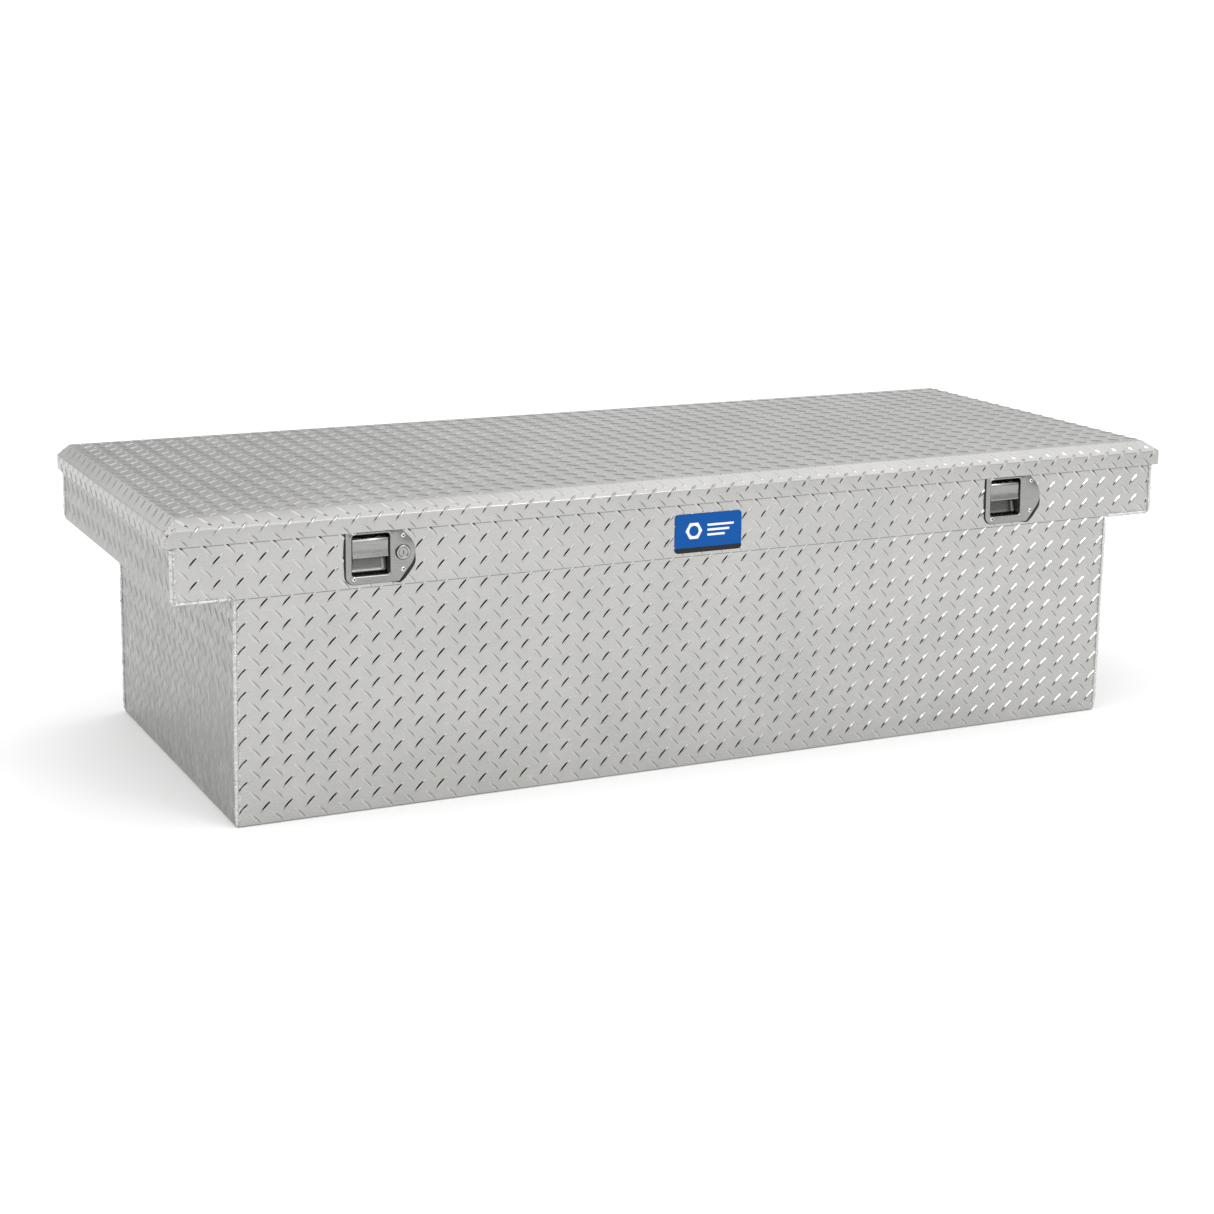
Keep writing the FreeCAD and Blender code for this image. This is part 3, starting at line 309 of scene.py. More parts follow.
class Fold:
    """Outer face of a folded sheet in section: corners joined by bends of one radius.

    A distance along the sheet gives a point of the section and its outward normal.
    """

    def __init__(self, corners, radius, outward):
        self.corners = [np.array(c, float) for c in corners]
        self.outward = outward
        points = [self.corners[0]]
        turns = []
        for before, corner, after in zip(self.corners, self.corners[1:], self.corners[2:]):
            a = (before - corner) / np.linalg.norm(before - corner)
            b = (after - corner) / np.linalg.norm(after - corner)
            half = math.acos(np.clip(np.dot(a, b), -1, 1)) / 2
            setback = radius / math.tan(half)
            middle = (a + b) / np.linalg.norm(a + b)
            centre = corner + middle * radius / math.sin(half)
            first = corner + a * setback
            last = corner + b * setback
            turns.append(len(points))
            for share in np.linspace(0, 1, BEND_STEPS):
                ray = (first - centre) * (1 - share) + (last - centre) * share
                points.append(centre + ray / np.linalg.norm(ray) * radius)
        points.append(self.corners[-1])
        self.points = np.array(points)
        steps = np.linalg.norm(np.diff(self.points, axis=0), axis=1)
        self.at = np.concatenate([[0], np.cumsum(steps)])
        self.bends = [self.at[k] for k in turns]
        along = np.gradient(self.points, self.at, axis=0)
        along /= np.linalg.norm(along, axis=1)[:, None]
        self.normals = np.stack([along[:, 1], -along[:, 0]], axis=1) * outward

    def place(self, distance, height):
        """Points off the sheet at a distance along it."""
        spot = [np.interp(distance, self.at, self.points[:, k]) for k in (0, 1)]
        normal = [np.interp(distance, self.at, self.normals[:, k]) for k in (0, 1)]
        return spot[0] + normal[0] * height, spot[1] + normal[1] * height

    @property
    def length(self):
        return self.at[-1]


def lid_front_fold(sheet):
    """(y, z) from the rear edge over the top, down the front bevel and the skirt."""
    top = LID_HIGH[2]
    front = LID_LOW[1]
    shoulder = top - sheet.bevel_drop
    return Fold([(LID_HIGH[1], top), (front + sheet.bevel_front, top), (front, shoulder),
                 (front, LID_LOW[2])], sheet.bend, 1)


def lid_end_fold(sheet):
    """(x, z) from the middle of the top, down the end bevel and the skirt."""
    top = LID_HIGH[2]
    end = LID_HIGH[0]
    shoulder = top - sheet.bevel_drop
    return Fold([(0, top), (end - sheet.bevel_end, top), (end, shoulder), (end, LID_LOW[2])],
                sheet.bend, -1)


# ---------------------------------------------------------------- tread bars
# Rings of a bar as shares of its half length, the lines across it as shares of its half width,
# and how high each line stands.
STATIONS = np.array([-1.0, -0.8, -0.42, 0.0, 0.42, 0.8, 1.0])
ACROSS = np.array([-1.0, -0.2, 0.0, 0.2, 1.0])
CROWN = np.array([0.0, 0.97, 1.0, 0.97, 0.0])
MIDDLE_LINE = len(ACROSS) // 2
CLIP_STEPS = 61
SHORTEST = 8


def bar_centres(bounds, pitch, offset):
    """Centres of the bars over a rectangle, and which way each leans."""
    u0, u1, v0, v1 = bounds
    found = []
    for lean, half in ((1, 0.0), (-1, 0.5)):
        columns = np.arange(math.floor((u0 - offset[0]) / pitch) - 1, (u1 - offset[0]) / pitch + 1)
        rows = np.arange(math.floor((v0 - offset[1]) / pitch) - 1, (v1 - offset[1]) / pitch + 1)
        u, v = np.meshgrid((columns + half) * pitch + offset[0], (rows + half) * pitch + offset[1])
        found.append(np.stack([u.ravel(), v.ravel(), np.full(u.size, lean)], axis=1))
    return np.concatenate(found)


def bar_half_width(share, tread):
    """Half the width of a bar at a share of its half length: a lens with blunt tips."""
    return tread.width / 2 * (0.10 + 0.90 * np.clip(1 - np.abs(share) ** 2.1, 0, 1) ** 0.8)


def bar_points(centres, share, tread):
    """(u, v) of points at shares of the half length, one column per line across the bar."""
    lean = centres[:, 2][:, None, None]
    reach = share * tread.length / 2
    aside = ACROSS[None, None, :] * bar_half_width(share, tread)
    root = math.sqrt(0.5)
    u = centres[:, 0][:, None, None] + (reach + aside * lean) * root
    v = centres[:, 1][:, None, None] + (-reach * lean + aside) * root
    return u, v


def clip_bars(centres, inside, tread):
    """Share limits of each line of each bar that keep it inside the sheet's outline.

    A bar is wanted when more than SHORTEST steps of its middle line are left.
    """
    fine = np.linspace(-1, 1, CLIP_STEPS)
    share = np.broadcast_to(fine[None, :, None], (len(centres), CLIP_STEPS, len(ACROSS)))
    u, v = bar_points(centres, share, tread)
    kept = inside(u, v)
    middle = kept[:, :, MIDDLE_LINE]
    wanted = middle.sum(axis=1) > SHORTEST
    first = np.where(kept.any(axis=1), kept.argmax(axis=1), middle.argmax(axis=1)[:, None])
    last = CLIP_STEPS - 1 - np.where(kept.any(axis=1), kept[:, ::-1].argmax(axis=1),
                                     middle[:, ::-1].argmax(axis=1)[:, None])
    return wanted, fine[first], fine[last]


def tread_bars(name, bounds, inside, place, body, material, offset=(0.0, 0.0)):
    """All the raised bars of one sheet, each a closed lozenge, clipped at the sheet's edges."""
    tread = bpy.context.scene.toolbox_tread
    centres = bar_centres(bounds, tread.pitch, offset)
    wanted, low, high = clip_bars(centres, inside, tread)
    centres, low, high = centres[wanted], low[wanted], high[wanted]
    spread = (STATIONS[None, :, None] + 1) / 2
    share = low[:, None, :] + (high - low)[:, None, :] * spread
    u, v = bar_points(centres, share, tread)
    swell = 1 - 0.8 * np.abs(share) ** 4
    height = tread.height * CROWN[None, None, :] * swell
    sides = [len(ACROSS) - 1, 0]
    edge_u, edge_v = u[:, :, sides], v[:, :, sides]
    u = np.concatenate([u, edge_u], axis=2)
    v = np.concatenate([v, edge_v], axis=2)
    height = np.concatenate([height, np.full(edge_u.shape, -tread.sink)], axis=2)
    verts = np.stack(place(u, v, height), axis=-1).reshape(-1, 3)
    rings, around = len(STATIONS), len(ACROSS) + len(sides)
    faces = []
    pattern = []
    for k in range(rings - 1):
        for i in range(around):
            j = (i + 1) % around
            pattern.append((k * around + i, k * around + j, (k + 1) * around + j, (k + 1) * around + i))
    caps = [tuple(range(around))[::-1], tuple(range((rings - 1) * around, rings * around))]
    for index in range(len(centres)):
        base = index * rings * around
        faces.extend(tuple(base + i for i in face) for face in pattern + caps)
    return piece(name, verts, faces, material, body, sharp=24.0)


# ---------------------------------------------------------------- materials
class Value:
    """A shader socket that takes part in sums as a number does."""

    def __init__(self, surface, socket):
        self.surface = surface
        self.socket = socket

    def _sum(self, operation, first, second):
        node = self.surface.node("ShaderNodeMath", {"operation": operation}, [first, second])
        return Value(self.surface, node.outputs[0])

    def __add__(self, other):
        return self._sum("ADD", self, other)

    def __radd__(self, other):
        return self._sum("ADD", other, self)

    def __sub__(self, other):
        return self._sum("SUBTRACT", self, other)

    def __rsub__(self, other):
        return self._sum("SUBTRACT", other, self)

    def __mul__(self, other):
        return self._sum("MULTIPLY", self, other)

    def __pow__(self, other):
        return self._sum("POWER", self, other)

    def __abs__(self):
        return self._sum("ABSOLUTE", self, 0.0)

    def above(self, other):
        return self._sum("MAXIMUM", self, other)

    def ramp(self, low, high, start=0.0, stop=1.0):
        """Runs from start to stop as this value goes from low to high, and no further."""
        node = self.surface.node("ShaderNodeMapRange", {"clamp": True},
                                 [self, low, high, start, stop])
        return Value(self.surface, node.outputs[0])


class Surface:
    """One material with a Principled shader."""

    def __init__(self, name, **constants):
        self.material = bpy.data.materials.new(name)
        self.material.use_nodes = True
        self.tree = self.material.node_tree
        self.shader = next(n for n in self.tree.nodes if n.type == "BSDF_PRINCIPLED")
        for key, value in constants.items():
            self.set(key.replace("_", " ").title().replace("Ior", "IOR"), value)
        self.coordinates = self.node("ShaderNodeTexCoord").outputs["Object"]
        parts = self.node("ShaderNodeSeparateXYZ", {}, [self.coordinates])
        self.x, self.y, self.z = (Value(self, parts.outputs[k]) for k in range(3))

    def node(self, kind, settings=None, inputs=()):
        """A node of a kind, its settings first, then values or links for its sockets."""
        node = self.tree.nodes.new(kind)
        for key, value in (settings or {}).items():
            if key == "stops":
                while len(node.color_ramp.elements) < len(value):
                    node.color_ramp.elements.new(0.5)
                for element, (position, colour) in zip(node.color_ramp.elements, value):
                    element.position = position
                    element.color = colour
            else:
                setattr(node, key, value)
        pairs = inputs.items() if isinstance(inputs, dict) else enumerate(inputs)
        for key, value in pairs:
            self.join(value, node.inputs[key])
        return node

    def join(self, value, target):
        """Links a socket to another, or sets a plain value; None leaves the socket as it is."""
        if isinstance(value, Value):
            value = value.socket
        if isinstance(value, bpy.types.NodeSocket):
            self.tree.links.new(value, target)
        elif value is not None:
            target.default_value = value

    def set(self, socket, value):
        if socket == "Base Color" and not isinstance(value, (Value, bpy.types.NodeSocket)):
            value = (*value[:3], 1.0)
        self.join(value, self.shader.inputs[socket])

    def stretched(self, stretch):
        """Object coordinates scaled by a factor for each axis."""
        node = self.node("ShaderNodeVectorMath", {"operation": "MULTIPLY"}, [self.coordinates, stretch])
        return node.outputs[0]

    def noise(self, scale, stretch=(1, 1, 1), detail=3.0, roughness=0.55):
        """Soft noise from 0 to 1, at a scale per metre."""
        node = self.node("ShaderNodeTexNoise", {"noise_dimensions": "3D"},
                         {"Vector": self.stretched(stretch), "Scale": scale, "Detail": detail,
                          "Roughness": roughness})
        return Value(self, node.outputs["Fac"])

    def cells(self, scale, stretch=(1, 1, 1)):
        """Distance to the nearest point of a scatter."""
        node = self.node("ShaderNodeTexVoronoi", {"feature": "F1"},
                         {"Vector": self.stretched(stretch), "Scale": scale})
        return Value(self, node.outputs["Distance"])

    def colour_mix(self, factor, first, second):
        """Blend of two colours; a colour mix takes them at its inputs 6 and 7."""
        node = self.node("ShaderNodeMix", {"data_type": "RGBA"})
        self.join(factor, node.inputs["Factor"])
        for key, colour in ((6, first), (7, second)):
            value = colour if isinstance(colour, bpy.types.NodeSocket) else (*colour[:3], 1.0)
            self.join(value, node.inputs[key])
        return node.outputs[2]

    def bump(self, height, distance, strength=1.0):
        node = self.node("ShaderNodeBump", {}, {"Height": height})
        node.inputs["Distance"].default_value = distance
        node.inputs["Strength"].default_value = strength
        self.set("Normal", node.outputs["Normal"])


def shade(colour, factor):
    """A colour made lighter or darker."""
    return tuple(channel * factor for channel in colour[:3])


def rolled_aluminium(name, colour, grain, roughness=0.30, weld_zone=None, grit=1.0, drag=0.0,
                     lines=None):
    """Bright rolled sheet: fine directional grain, faint clouds and a few scratches."""
    surface = Surface(name, metallic=1.0)
    streaks = surface.noise(900, grain, detail=2.0)
    clouds = surface.noise(9, detail=4.0)
    specks = surface.noise(420, detail=2.0)
    marks = surface.noise(60, (grain[2], grain[0], grain[1]), detail=6.0, roughness=0.7)
    scratches = marks.ramp(0.66, 0.70)
    tone = surface.colour_mix(clouds.ramp(0.3, 0.7), shade(colour, 0.93), shade(colour, 1.05))
    tone = surface.colour_mix(streaks.ramp(0.35, 0.75) * 0.5, tone, shade(colour, 0.86))
    rough = roughness + ((streaks - 0.5) * 0.16 + (clouds - 0.5) * 0.14 + scratches * 0.08) * grit
    height = streaks * 0.35 + specks * 0.25 - scratches * 0.5
    if weld_zone:
        ground = weld_zone(surface)
        speckle = surface.noise(330, detail=4.0).ramp(0.40, 0.62)
        dressed = surface.colour_mix(speckle, shade(colour, 0.74), shade(colour, 1.34))
        tone = surface.colour_mix(ground, tone, dressed)
        rough = rough + ground * 0.06
        height = height + ground * speckle * 5.0
    if drag:
        strokes = surface.noise(230, (1, 1, 0.16), detail=2.0)
        tone = surface.colour_mix(strokes.ramp(0.42, 0.66) * drag, tone, shade(colour, 0.62))
        tone = surface.colour_mix(strokes.ramp(0.40, 0.28) * drag, tone, shade(colour, 1.35))
        height = height + strokes * 2.0
    # Painted shadow: dark lines laid into the sheet's colour, such as the skirt's shadow on the front.
    if lines:
        tone = surface.colour_mix(lines(surface) * 0.6, tone, shade(colour, 0.3))
    surface.set("Base Color", tone)
    surface.set("Roughness", rough)
    surface.bump(height, 0.12 * MM, 0.5 * grit)
    return surface.material


def skirt_shadow_line(surface):
    """The shaded hairline on the body just under the foot of the lid's front skirt."""
    depth = BAND_FACE - float(LID_LOW[1])
    foot = float(LID_LOW[2]) - depth * 0.25 - 1.4 * MM
    return surface.z.ramp(foot - 0.4 * MM, foot + 0.4 * MM)


def front_corner_zone(surface):
    """Ragged ground bands where the front sheet is welded to the ends and wing floors."""
    inner, outer = 5.5 * MM, 7.5 * MM
    ragged = (surface.noise(260, detail=4.0) - 0.5) * (9 * MM)
    above = surface.z.ramp(CREASE - 1 * MM, CREASE)
    half = BASE_HALF + above * (BODY_HALF - BASE_HALF)
    beside = (half - abs(surface.x) + ragged).ramp(inner, outer, 1.0, 0.0)
    wing = abs(surface.x).ramp(BASE_HALF, BASE_HALF + 1 * MM)
    under = (abs(surface.z - CREASE) + ragged).ramp(inner, outer, 1.0, 0.0) * wing
    return beside.above(under)


def lid_corner_zone(surface):
    """A ragged band along the lid's ground mitres, at the two front corners."""
    sheet = bpy.context.scene.toolbox_sheet
    wobble = (surface.noise(160, detail=3.0) - 0.5) * (4 * MM)
    from_end = float(LID_HIGH[0]) - abs(surface.x)
    from_front = surface.y - float(LID_LOW[1])
    share = sheet.bevel_front / sheet.bevel_end
    across = abs(from_end * share - from_front) + wobble
    near = across.ramp(2.2 * MM, 3.4 * MM, 1.0, 0.0)
    on_bevel = from_front.ramp(sheet.bevel_front, sheet.bevel_front + 1 * MM, 1.0, 0.0)
    return near * on_bevel


def bare_weld(name, colour):
    """Blotchy bead metal with a little soot."""
    surface = Surface(name, metallic=1.0)
    blotch = surface.noise(320, detail=4.0)
    soot = surface.noise(90, detail=3.0)
    tone = surface.colour_mix(soot.ramp(0.55, 0.75), colour, shade(colour, 0.55))
    surface.set("Base Color", tone)
    surface.set("Roughness", 0.24 + blotch * 0.22)
    surface.bump(blotch, 0.4 * MM, 0.7)
    return surface.material


def brushed_steel(name, colour, roughness=0.26, recess_shade=0.0):
    """Stainless with a fine sideways brush; a hollow's walls are duller."""
    surface = Surface(name, metallic=1.0)
    brush = surface.noise(1500, (0.04, 1, 1), detail=2.0)
    smudge = surface.noise(28, detail=3.0)
    tone = surface.colour_mix(brush.ramp(0.3, 0.7), shade(colour, 0.88), shade(colour, 1.1))
    if recess_shade:
        # Painted shade: the colour darkens with depth into the handle's recess, where shade falls.
        depth = surface.y.ramp(BAND_FACE + 1 * MM, BAND_FACE + 12 * MM)
        tone = surface.colour_mix(depth * recess_shade, tone, shade(colour, 0.3))
    surface.set("Base Color", tone)
    surface.set("Roughness", roughness + (brush - 0.5) * 0.14 + (smudge - 0.5) * 0.12)
    surface.bump(brush, 0.06 * MM, 0.4)
    return surface.material


def zinc_plate(name, colour):
    """Plated steel, spangled and slightly yellow in places."""
    surface = Surface(name, metallic=1.0)
    spangle = surface.cells(260)
    cloud = surface.noise(70, detail=4.0)
    tone = surface.colour_mix(cloud.ramp(0.35, 0.7), shade(colour, 0.85), (0.60, 0.58, 0.50))
    surface.set("Base Color", tone)
    surface.set("Roughness", 0.34 + spangle * 0.15 + (cloud - 0.5) * 0.1)
    surface.bump(spangle, 0.05 * MM, 0.3)
    return surface.material


def bright_chrome(name):
    """Polished metal with a faint haze."""
    surface = Surface(name, metallic=1.0)
    haze = surface.noise(55, detail=3.0)
    surface.set("Base Color", surface.colour_mix(haze, (0.68, 0.68, 0.69), (0.8, 0.8, 0.8)))
    surface.set("Roughness", 0.07 + haze * 0.12)
    surface.bump(surface.noise(900), 0.02 * MM, 0.3)
    return surface.material


def moulded_rubber(name, colour):
    """Matt rubber with fine pores and dust."""
    surface = Surface(name, metallic=0.0, specular_ior_level=0.3)
    dust = surface.noise(45, detail=5.0)
    pores = surface.noise(1400, detail=2.0)
    surface.set("Base Color", surface.colour_mix(dust.ramp(0.5, 0.8), colour, (0.05, 0.05, 0.05)))
    surface.set("Roughness", 0.62 + (dust - 0.5) * 0.2)
    surface.bump(pores, 0.1 * MM, 0.5)
    return surface.material


def black_enamel(name):
    """Sprayed black paint with a slight orange peel."""
    surface = Surface(name, metallic=0.0, coat_weight=0.4, coat_roughness=0.12)
    peel = surface.noise(380, detail=2.0)
    wear = surface.noise(80, detail=5.0)
    surface.set("Base Color", surface.colour_mix(wear.ramp(0.62, 0.78), (0.010, 0.010, 0.011),
                                                 (0.05, 0.05, 0.05)))
    surface.set("Roughness", 0.28 + wear * 0.15)
    surface.bump(peel, 0.08 * MM, 0.35)
    return surface.material


def badge_field(name, colour):
    """Printed film under clear resin, with a fine field of dots."""
    surface = Surface(name, metallic=0.0, specular_ior_level=0.12, coat_weight=0.04,
                      coat_roughness=0.15)
    pitch = 2.4 * MM
    across = surface.node("ShaderNodeMath", {"operation": "PINGPONG"}, [surface.x, pitch / 2])
    upward = surface.node("ShaderNodeMath", {"operation": "PINGPONG"}, [surface.z, pitch / 2])
    dx = Value(surface, across.outputs[0]) - pitch / 4
    dz = Value(surface, upward.outputs[0]) - pitch / 4
    reach = (dx * dx + dz * dz) ** 0.5
    dots = reach.ramp(pitch * 0.13, pitch * 0.19, 1.0, 0.0)
    cloud = surface.noise(30, detail=2.0)
    field = surface.colour_mix(cloud, shade(colour, 0.92), shade(colour, 1.08))
    surface.set("Base Color", surface.colour_mix(dots, field, (0.0, 0.10, 0.42)))
    surface.set("Roughness", 0.3 + dots * 0.1)
    return surface.material


def printed(name, colour):
    """Flat print under a thin clear coat."""
    surface = Surface(name, metallic=0.0, specular_ior_level=0.2, coat_weight=0.08,
                      coat_roughness=0.2)
    grain = surface.noise(500, detail=2.0)
    surface.set("Base Color", surface.colour_mix(grain, shade(colour, 0.94), shade(colour, 1.0)))
    surface.set("Roughness", 0.3 + grain * 0.1)
    return surface.material


def floor_paint(name, colour):
    """Pale matt floor."""
    surface = Surface(name, metallic=0.0, specular_ior_level=0.2)
    mottle = surface.noise(1.5, detail=4.0)
    surface.set("Base Color", surface.colour_mix(mottle, shade(colour, 0.985), colour))
    surface.set("Roughness", 0.75 + mottle * 0.1)
    return surface.material


MATERIALS = {}


def make_materials():
    """Every material once, by a short name."""
    finish = bpy.context.scene.toolbox_finish
    lengthwise = (0.05, 1, 1)
    upward = (1, 1, 0.05)
    MATERIALS.update(
        sheet=rolled_aluminium("tread_sheet", finish.aluminium, lengthwise,
                               weld_zone=front_corner_zone, lines=skirt_shadow_line),
        lid=rolled_aluminium("tread_lid", finish.aluminium, lengthwise, weld_zone=lid_corner_zone),
        # Painted shade: the ends and wing floors are a darker copy (0.82) of the same aluminium, for sides
        # facing away from the light.
        end=rolled_aluminium("tread_end_painted_shade", shade(finish.aluminium, 0.82), upward, roughness=0.36,
                             drag=0.8),
        # Painted highlight: the front and back bars are a brighter copy (1.12) of the same aluminium,
        # lifting them against the sheet.
        bars=rolled_aluminium("tread_bars", shade(finish.aluminium, 1.12), lengthwise, roughness=0.1,
                              grit=0.25),
        lid_bars=rolled_aluminium("tread_lid_bars", finish.aluminium, lengthwise,
                                  roughness=0.14, grit=0.25),
        # Painted shade: bars on the ends and undersides are a darker copy (0.86) of the same aluminium.
        end_bars=rolled_aluminium("end_bars_painted_shade", shade(finish.aluminium, 0.86), upward, roughness=0.38),
        # Painted shade: the crease line is the same aluminium darkened to 0.4, for the shade along the fine
        # bend.
        crease=rolled_aluminium("pressed_line_painted_shade", shade(finish.aluminium, 0.4), lengthwise,
                                roughness=0.4),
        plain=rolled_aluminium("plain_sheet", shade(finish.aluminium, 0.95), upward, roughness=0.34),
        weld=bare_weld("weld_metal", finish.weld),
        steel=brushed_steel("stainless", finish.steel),
        dish=brushed_steel("stainless_dish_painted_shade", finish.steel, recess_shade=0.75),
        zinc=zinc_plate("zinc_plate", finish.zinc),
        chrome=bright_chrome("chrome"),
        lock=brushed_steel("lock_steel", shade(finish.steel, 1.15), roughness=0.16),
        rubber=moulded_rubber("rubber", finish.rubber),
        enamel=black_enamel("black_enamel"),
        blue=badge_field("badge_blue", finish.blue),
        # Black print on the badge; the same black also paints the shade in the lock's keyway and the rivet
        # bores.
        black=printed("black_print_and_hole_shade", (0.012, 0.012, 0.014)),
        white=printed("badge_white", (0.82, 0.82, 0.84)),
        floor=floor_paint("floor_paint", bpy.context.scene.toolbox_stage.floor_colour),
    )


def dress(node, material):
    """Gives a CAD node a material in place of its plain one."""
    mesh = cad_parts[node].data
    mesh.materials.clear()
    mesh.materials.append(MATERIALS[material])


# ---------------------------------------------------------------- pieces
class TOOLBOX_OT_sheets(bpy.types.Operator):
    """Finish the folded sheets and plates that keep their packed shape"""
    bl_idname = "toolbox.sheets"
    bl_label = "Sheets and Plates"

    def execute(self, context):
        for node in ("front_panel", "back_panel"):
            dress(node, "sheet")
        for node in ("bottom_pan", "rim_frame", "lid_liner"):
            dress(node, "plain")
        for place in ("front", "middle", "rear"):
            dress("lid_stiffener_" + place, "plain")
        for side, _ in SIDES:
            dress("lower_end_" + side, "end")
            dress("wing_end_" + side, "end")
            dress("wing_floor_" + side, "end")
        return {"FINISHED"}


class TOOLBOX_OT_lid_skin(bpy.types.Operator):
    """Fold the lid skin: top, bevels, skirts and rear flange"""
    bl_idname = "toolbox.lid_skin"
    bl_label = "Lid Skin"

    def execute(self, context):
        sheet = context.scene.toolbox_sheet
        front = lid_front_fold(sheet)
        end = lid_end_fold(sheet)
        start = int(np.searchsorted(front.at, front.bends[0]))
        build = Build()
        outer = [self.ring(front, end, k, 0.0, sheet.corner) for k in range(start, len(front.at))]
        inner = [self.ring(front, end, k, -sheet.thickness, sheet.corner)
                 for k in range(start, len(front.at))]
        loops = outer + inner[::-1]
        count = len(outer[0])
        verts = [point for loop in loops for point in loop]
        faces = []
        for k in range(len(loops) - 1):
            for i in range(count - 1):
                a = k * count + i
                faces.append((a, a + 1, a + count + 1, a + count))
        for k in range(len(outer) - 1):
            mate = len(loops) - 1 - k
            for i in (0, count - 1):
                faces.append((k * count + i, (k + 1) * count + i, (mate - 1) * count + i, mate * count + i))
        last = (len(loops) - 1) * count
        faces.append(tuple(range(count)))
        faces.append(tuple(range(last, last + count)))
        faces.append((0, count - 1, last + count - 1, last))
        build.add(verts, faces)
        self.rear_flange(build, sheet)
        build.finish("lid_shell", MATERIALS["lid"], "lid", "tread_plate", ["lid_skin"], sharp=35.0)
        return {"FINISHED"}

    @staticmethod
    def ring(front, end, k, height, corner):
        """Line round the lid at one station of the folds: rear left, front corners, rear right."""
        y, z = front.place(front.at[k], height)
        x, _ = end.place(end.at[k], height)
        rear = LID_HIGH[1]
        step = corner * (1 - math.sqrt(0.5))
        right = [(x - corner, y), (x - step, y + step), (x, y + corner), (x, rear)]
        left = [(-a, b) for a, b in right[::-1]]
        return [(a, b, z) for a, b in left + right]

    @staticmethod
    def rear_flange(build, sheet):
        """The lid's rear skirt, bevelled at both ends, down onto the hinge leaf."""
        top = LID_HIGH[2] - sheet.thickness
        foot = node_box("hinge_leaf_lid")[0][2] + 5 * MM
        inner = LID_HIGH[0] - sheet.thickness
        shoulder = top - sheet.bevel_drop + sheet.thickness
        crown = LID_HIGH[0] - sheet.bevel_end - sheet.thickness / 2
        outline = [(-inner, foot), (inner, foot), (inner, shoulder), (crown, top), (-crown, top),
                   (-inner, shoulder)]
        rear = LID_HIGH[1]
        build.loops([[(x, rear, z) for x, z in outline],
                     [(x, rear - sheet.thickness, z) for x, z in outline]])


class TOOLBOX_OT_lid_tread(bpy.types.Operator):
    """Raise the tread bars of the lid, over its bevels and skirts"""
    bl_idname = "toolbox.lid_tread"
    bl_label = "Lid Tread"

    def execute(self, context):
        sheet = context.scene.toolbox_sheet
        front = lid_front_fold(sheet)
        end = lid_end_fold(sheet)
        rear = float(LID_HIGH[1])
        edge = 2.5 * MM
        foot = 1 * MM
        top_half = LID_HIGH[0] - sheet.bevel_end
        bevel_at = rear - (LID_LOW[1] + sheet.bevel_front)
        bevel_length = math.hypot(sheet.bevel_front, sheet.bevel_drop)
        end_length = math.hypot(sheet.bevel_end, sheet.bevel_drop)

        # Over the top and down the front: u runs along the box, v from the rear edge.
        def on_front(u, v):
            share = np.clip((v - bevel_at) / bevel_length, 0, 1)
            limit = top_half + sheet.bevel_end * share - np.where(share > 0, edge, 0)
            return (np.abs(u) < limit) & (v > edge) & (v < front.length - foot)

        def over_front(u, v, height):
            y, z = front.place(v, height)
            return u, y, z

        tread_bars("lid_tread_top", (-LID_HIGH[0], LID_HIGH[0], 0, front.length), on_front,
                   over_front, "lid", MATERIALS["lid_bars"])
        for side, sign in SIDES:
            def on_end(u, v):
                share = np.clip((sign * u - top_half) / end_length, 0, 1)
                limit = bevel_at + sheet.bevel_front * share - edge
                return ((sign * u > top_half) & (sign * u < end.length - foot)
                        & (v > edge) & (v < limit))

            def over_end(u, v, height):
                x, z = end.place(sign * u, height)
                return sign * x, rear - v, z

            bounds = sorted((sign * top_half, sign * end.length))
            tread_bars("lid_tread_" + side, (*bounds, 0, bevel_at + sheet.bevel_front), on_end,
                       over_end, "lid", MATERIALS["end_bars"])
        return {"FINISHED"}


# Bars stop this far short of a side edge, of a top or foot edge, and of an underside's edges.
SIDE_EDGE = 3 * MM
LEVEL_EDGE = 2 * MM
UNDER_EDGE = 6 * MM


